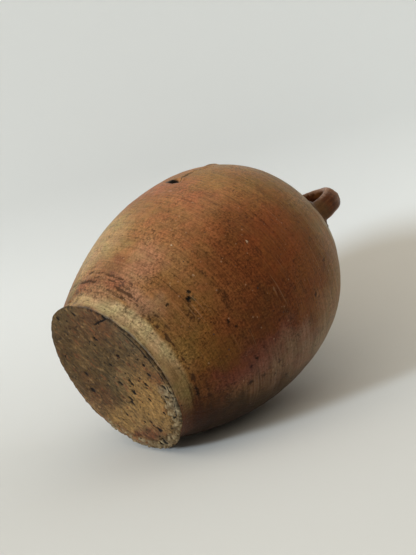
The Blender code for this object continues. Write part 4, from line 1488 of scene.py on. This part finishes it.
def base_material():
    """Bare fired clay of the cut underside: brown, streaked along the cut, gritty, dark in its pits."""
    material, nodes, place, shader = new_material("bare cut clay")
    part = nodes.split(nodes.vector("SCALE", place, scale=1 / MM))
    pit, broken, grime, torn = (attribute(nodes, name) for name in ("pit", "broken", "grime", "torn"))
    turned = nodes.add("ShaderNodeVectorRotate", {
        "Vector": place, "Angle": -STREAK_ANGLE,
    }, rotation_type="Z_AXIS").outputs[0]
    push = nodes.wave(place, BASE_PUSH_SCALE, detail=4.0)
    other_push = nodes.wave(nodes.vector("ADD", place, ASIDE), BASE_PUSH_SCALE, detail=4.0)
    across = total(nodes, (part["X"], 1.0), (push, BASE_PUSH))
    up = total(nodes, (part["Y"], 1.0), (other_push, BASE_PUSH))
    colour = toned(nodes, srgb(84, 65, 40), (across, up), BASE_TONES)

    drag, _ = streaks(nodes, turned, 1.7, 2, CUT_SQUEEZE)
    broad_drag, _ = streaks(nodes, turned, 4.6, 3, CUT_SQUEEZE)
    grain = mottle(nodes, place, 1.7)
    blot = mottle(nodes, place, 6)
    tone = total(nodes, (drag, 0.2), (broad_drag, 0.14), (grain, 0.62), (blot, 0.3))
    drawn_out = nodes.vector("MULTIPLY", turned, (0.5, 1, 1))
    rust = nodes.remap(nodes.noise(drawn_out, 260.0, detail=3.0), 0.56, 0.68)
    colour = nodes.coated(colour, (rust, 0.45, (112, 62, 36)), (torn, 0.4, (134, 106, 70)))
    colour = nodes.coated(shaded(nodes, colour, tone), (grime, 0.5, (58, 47, 33)))

    chalk = nodes.mix(nodes.remap(blot, -0.5, 0.5), srgb(98, 78, 52), srgb(142, 126, 96))
    chalk = shaded(nodes, chalk, nodes.times(grain, 0.3))
    chalky = nodes.math("SUBTRACT", broken, nodes.times(grime, 0.8), clamp=True)
    colour = nodes.mix(nodes.times(chalky, 0.8), colour, chalk)
    dark = specks(nodes, place, 300.0, 0.22, 0.26)
    pale = specks(nodes, place, 380.0, 0.10, 0.24)
    colour = nodes.coated(colour, (dark, 0.7, (36, 28, 20)), (pale, 0.4, (160, 138, 104)))
    # Near black in the pits, the crack and the slit, and along the painted shadow line of the rim
    colour = nodes.coated(colour, (nodes.remap(pit, 0.15, 0.6), 0.95, (20, 18, 17)))
    nodes.fill(shader, {
        "Base Color": colour,
        "Roughness": nodes.remap(grain, -1.0, 1.0, 0.72, 0.95),
        "Specular IOR Level": 0.15,
    })
    bumped(nodes, shader, total(nodes, (grain, 0.22), (drag, 0.14), (dark, -0.3), (pale, 0.15)))
    return material


def handle_material():
    """The same clay under a thicker glaze: glossy, red brown, streaked along the strap."""
    material, nodes, place, shader = new_material("glossy red brown glaze")
    edge = attribute(nodes, "edge")
    root = attribute(nodes, "root")
    drawn, _ = streaks(nodes, place, 2.4, 2, STRAP_SQUEEZE)
    grain = mottle(nodes, place, 1.6)
    blot = mottle(nodes, place, 8)
    colour = nodes.mix(nodes.remap(drawn, -1.0, 1.0), srgb(74, 36, 15), srgb(94, 51, 25))
    part = nodes.split(place)
    crown = nodes.remap(part["Z"], *CROWN_RISE)
    inward = nodes.remap(part["X"], *INWARD_REACH)
    pooled = nodes.remap(nodes.noise(place, 190.0, detail=3.0), 0.47, 0.6)
    colour = nodes.coated(colour, (crown, 0.85, (122, 78, 42)), (inward, 0.7, (66, 27, 18)))
    colour = nodes.coated(colour, (pooled, 0.5, (50, 24, 10)))
    colour = nodes.mix(nodes.remap(blot, 0.1, 1.0, 0.0, 0.5), colour, srgb(90, 66, 40))
    # Painted highlight: pale along both edges of the strap, broken by grain
    edge_highlight = nodes.ramped(edge, (grain, -0.8, 0.4, 0.5, 1.0))
    colour = nodes.coated(colour, (root, 0.7, (84, 61, 36)), (edge_highlight, 0.75, (156, 122, 102)))
    colour = shaded(nodes, colour, total(nodes, (grain, 0.25), (drawn, 0.05)))
    dark = specks(nodes, place, 420.0, 0.14, 0.25)
    nodes.fill(shader, {
        "Base Color": nodes.coated(colour, (dark, 0.6, (30, 16, 10))),
        "Roughness": nodes.remap(blot, -0.8, 0.8, 0.36, 0.5),
        "Specular IOR Level": 0.22,
        "Specular Tint": GLAZE_SHINE,
    })
    bumped(nodes, shader, total(nodes, (grain, 0.05), (drawn, 0.05), (dark, -0.08)))
    return material


def plain_material(name, colour, roughness):
    material, nodes, _, shader = new_material(name)
    nodes.fill(shader, {"Base Color": colour, "Roughness": roughness, "Specular IOR Level": 0.3})
    return material


def crumb_material():
    """Chalky clay, from pale to dirty brown."""
    material, nodes, place, shader = new_material("clay crumbs")
    pick = nodes.remap(nodes.noise(place, 420.0), 0.38, 0.62)
    colour = nodes.mix(pick, srgb(84, 66, 42), srgb(124, 104, 72))
    nodes.fill(shader, {"Base Color": colour, "Roughness": 0.9, "Specular IOR Level": 0.15})
    return material


TREE_KINDS = ("GeometryNodeTree", "ShaderNodeTree")
around_group = {kind: around_tree(kind) for kind in TREE_KINDS}
patch_group = {kind: patch_tree(kind) for kind in TREE_KINDS}
specks_group = specks_tree()
streaks_group = streaks_tree()
mottle_group = mottle_tree()
grains_group = grains_tree()

wall = grown("thrown_wall", outline_mesh(), turned_tree(), {
    "Turn steps": TURN_STEPS,
    "Wobble": 1.6 * MM,
    "Ring depth": 0.5 * MM,
    "Ring pitch": 6 * MM,
    "Skin depth": 0.35 * MM,
    "Chip depth": 0.7 * MM,
    "Clay": wall_material(),
})
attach(wall, "root")
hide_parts("foot_wall", "lower_belly", "upper_belly", "shoulder", "neck", "rim")

base = cut_base(base_material())
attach(base, "root")
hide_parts("base_slab")

handle = strap_handle(handle_material())
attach(handle, "root")
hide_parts("handle_strap", "handle_shoulder_wad", "handle_neck_wad")

# Iron that the kiln's salt brought up as small dark beads, and clay crumbs along the broken rim
pips = grown("iron_pips", wall.data, grains_group, {
    "Where": "outside",
    "Grains per square metre": 1500.0,
    "Least size": 0.4 * MM,
    "Greatest size": 1.1 * MM,
    "Flatness": 0.55,
    "Seed": 4,
    "Clay": plain_material("iron in the glaze", srgb(34, 22, 14), 0.42),
})
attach(pips, "root")
crumbs = grown("rim_crumbs", base.data, grains_group, {
    "Where": "broken",
    "Grains per square metre": 9000.0,
    "Least size": 1.2 * MM,
    "Greatest size": 3.4 * MM,
    "Flatness": 0.45,
    "Seed": 7,
    "Clay": crumb_material(),
})
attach(crumbs, "root")

make_camera()
touch = resting_point(wall, base, pips, crumbs)
make_floor(touch)
make_lamp(touch)
make_world()

scene = bpy.context.scene
scene.view_settings.view_transform = "Standard"
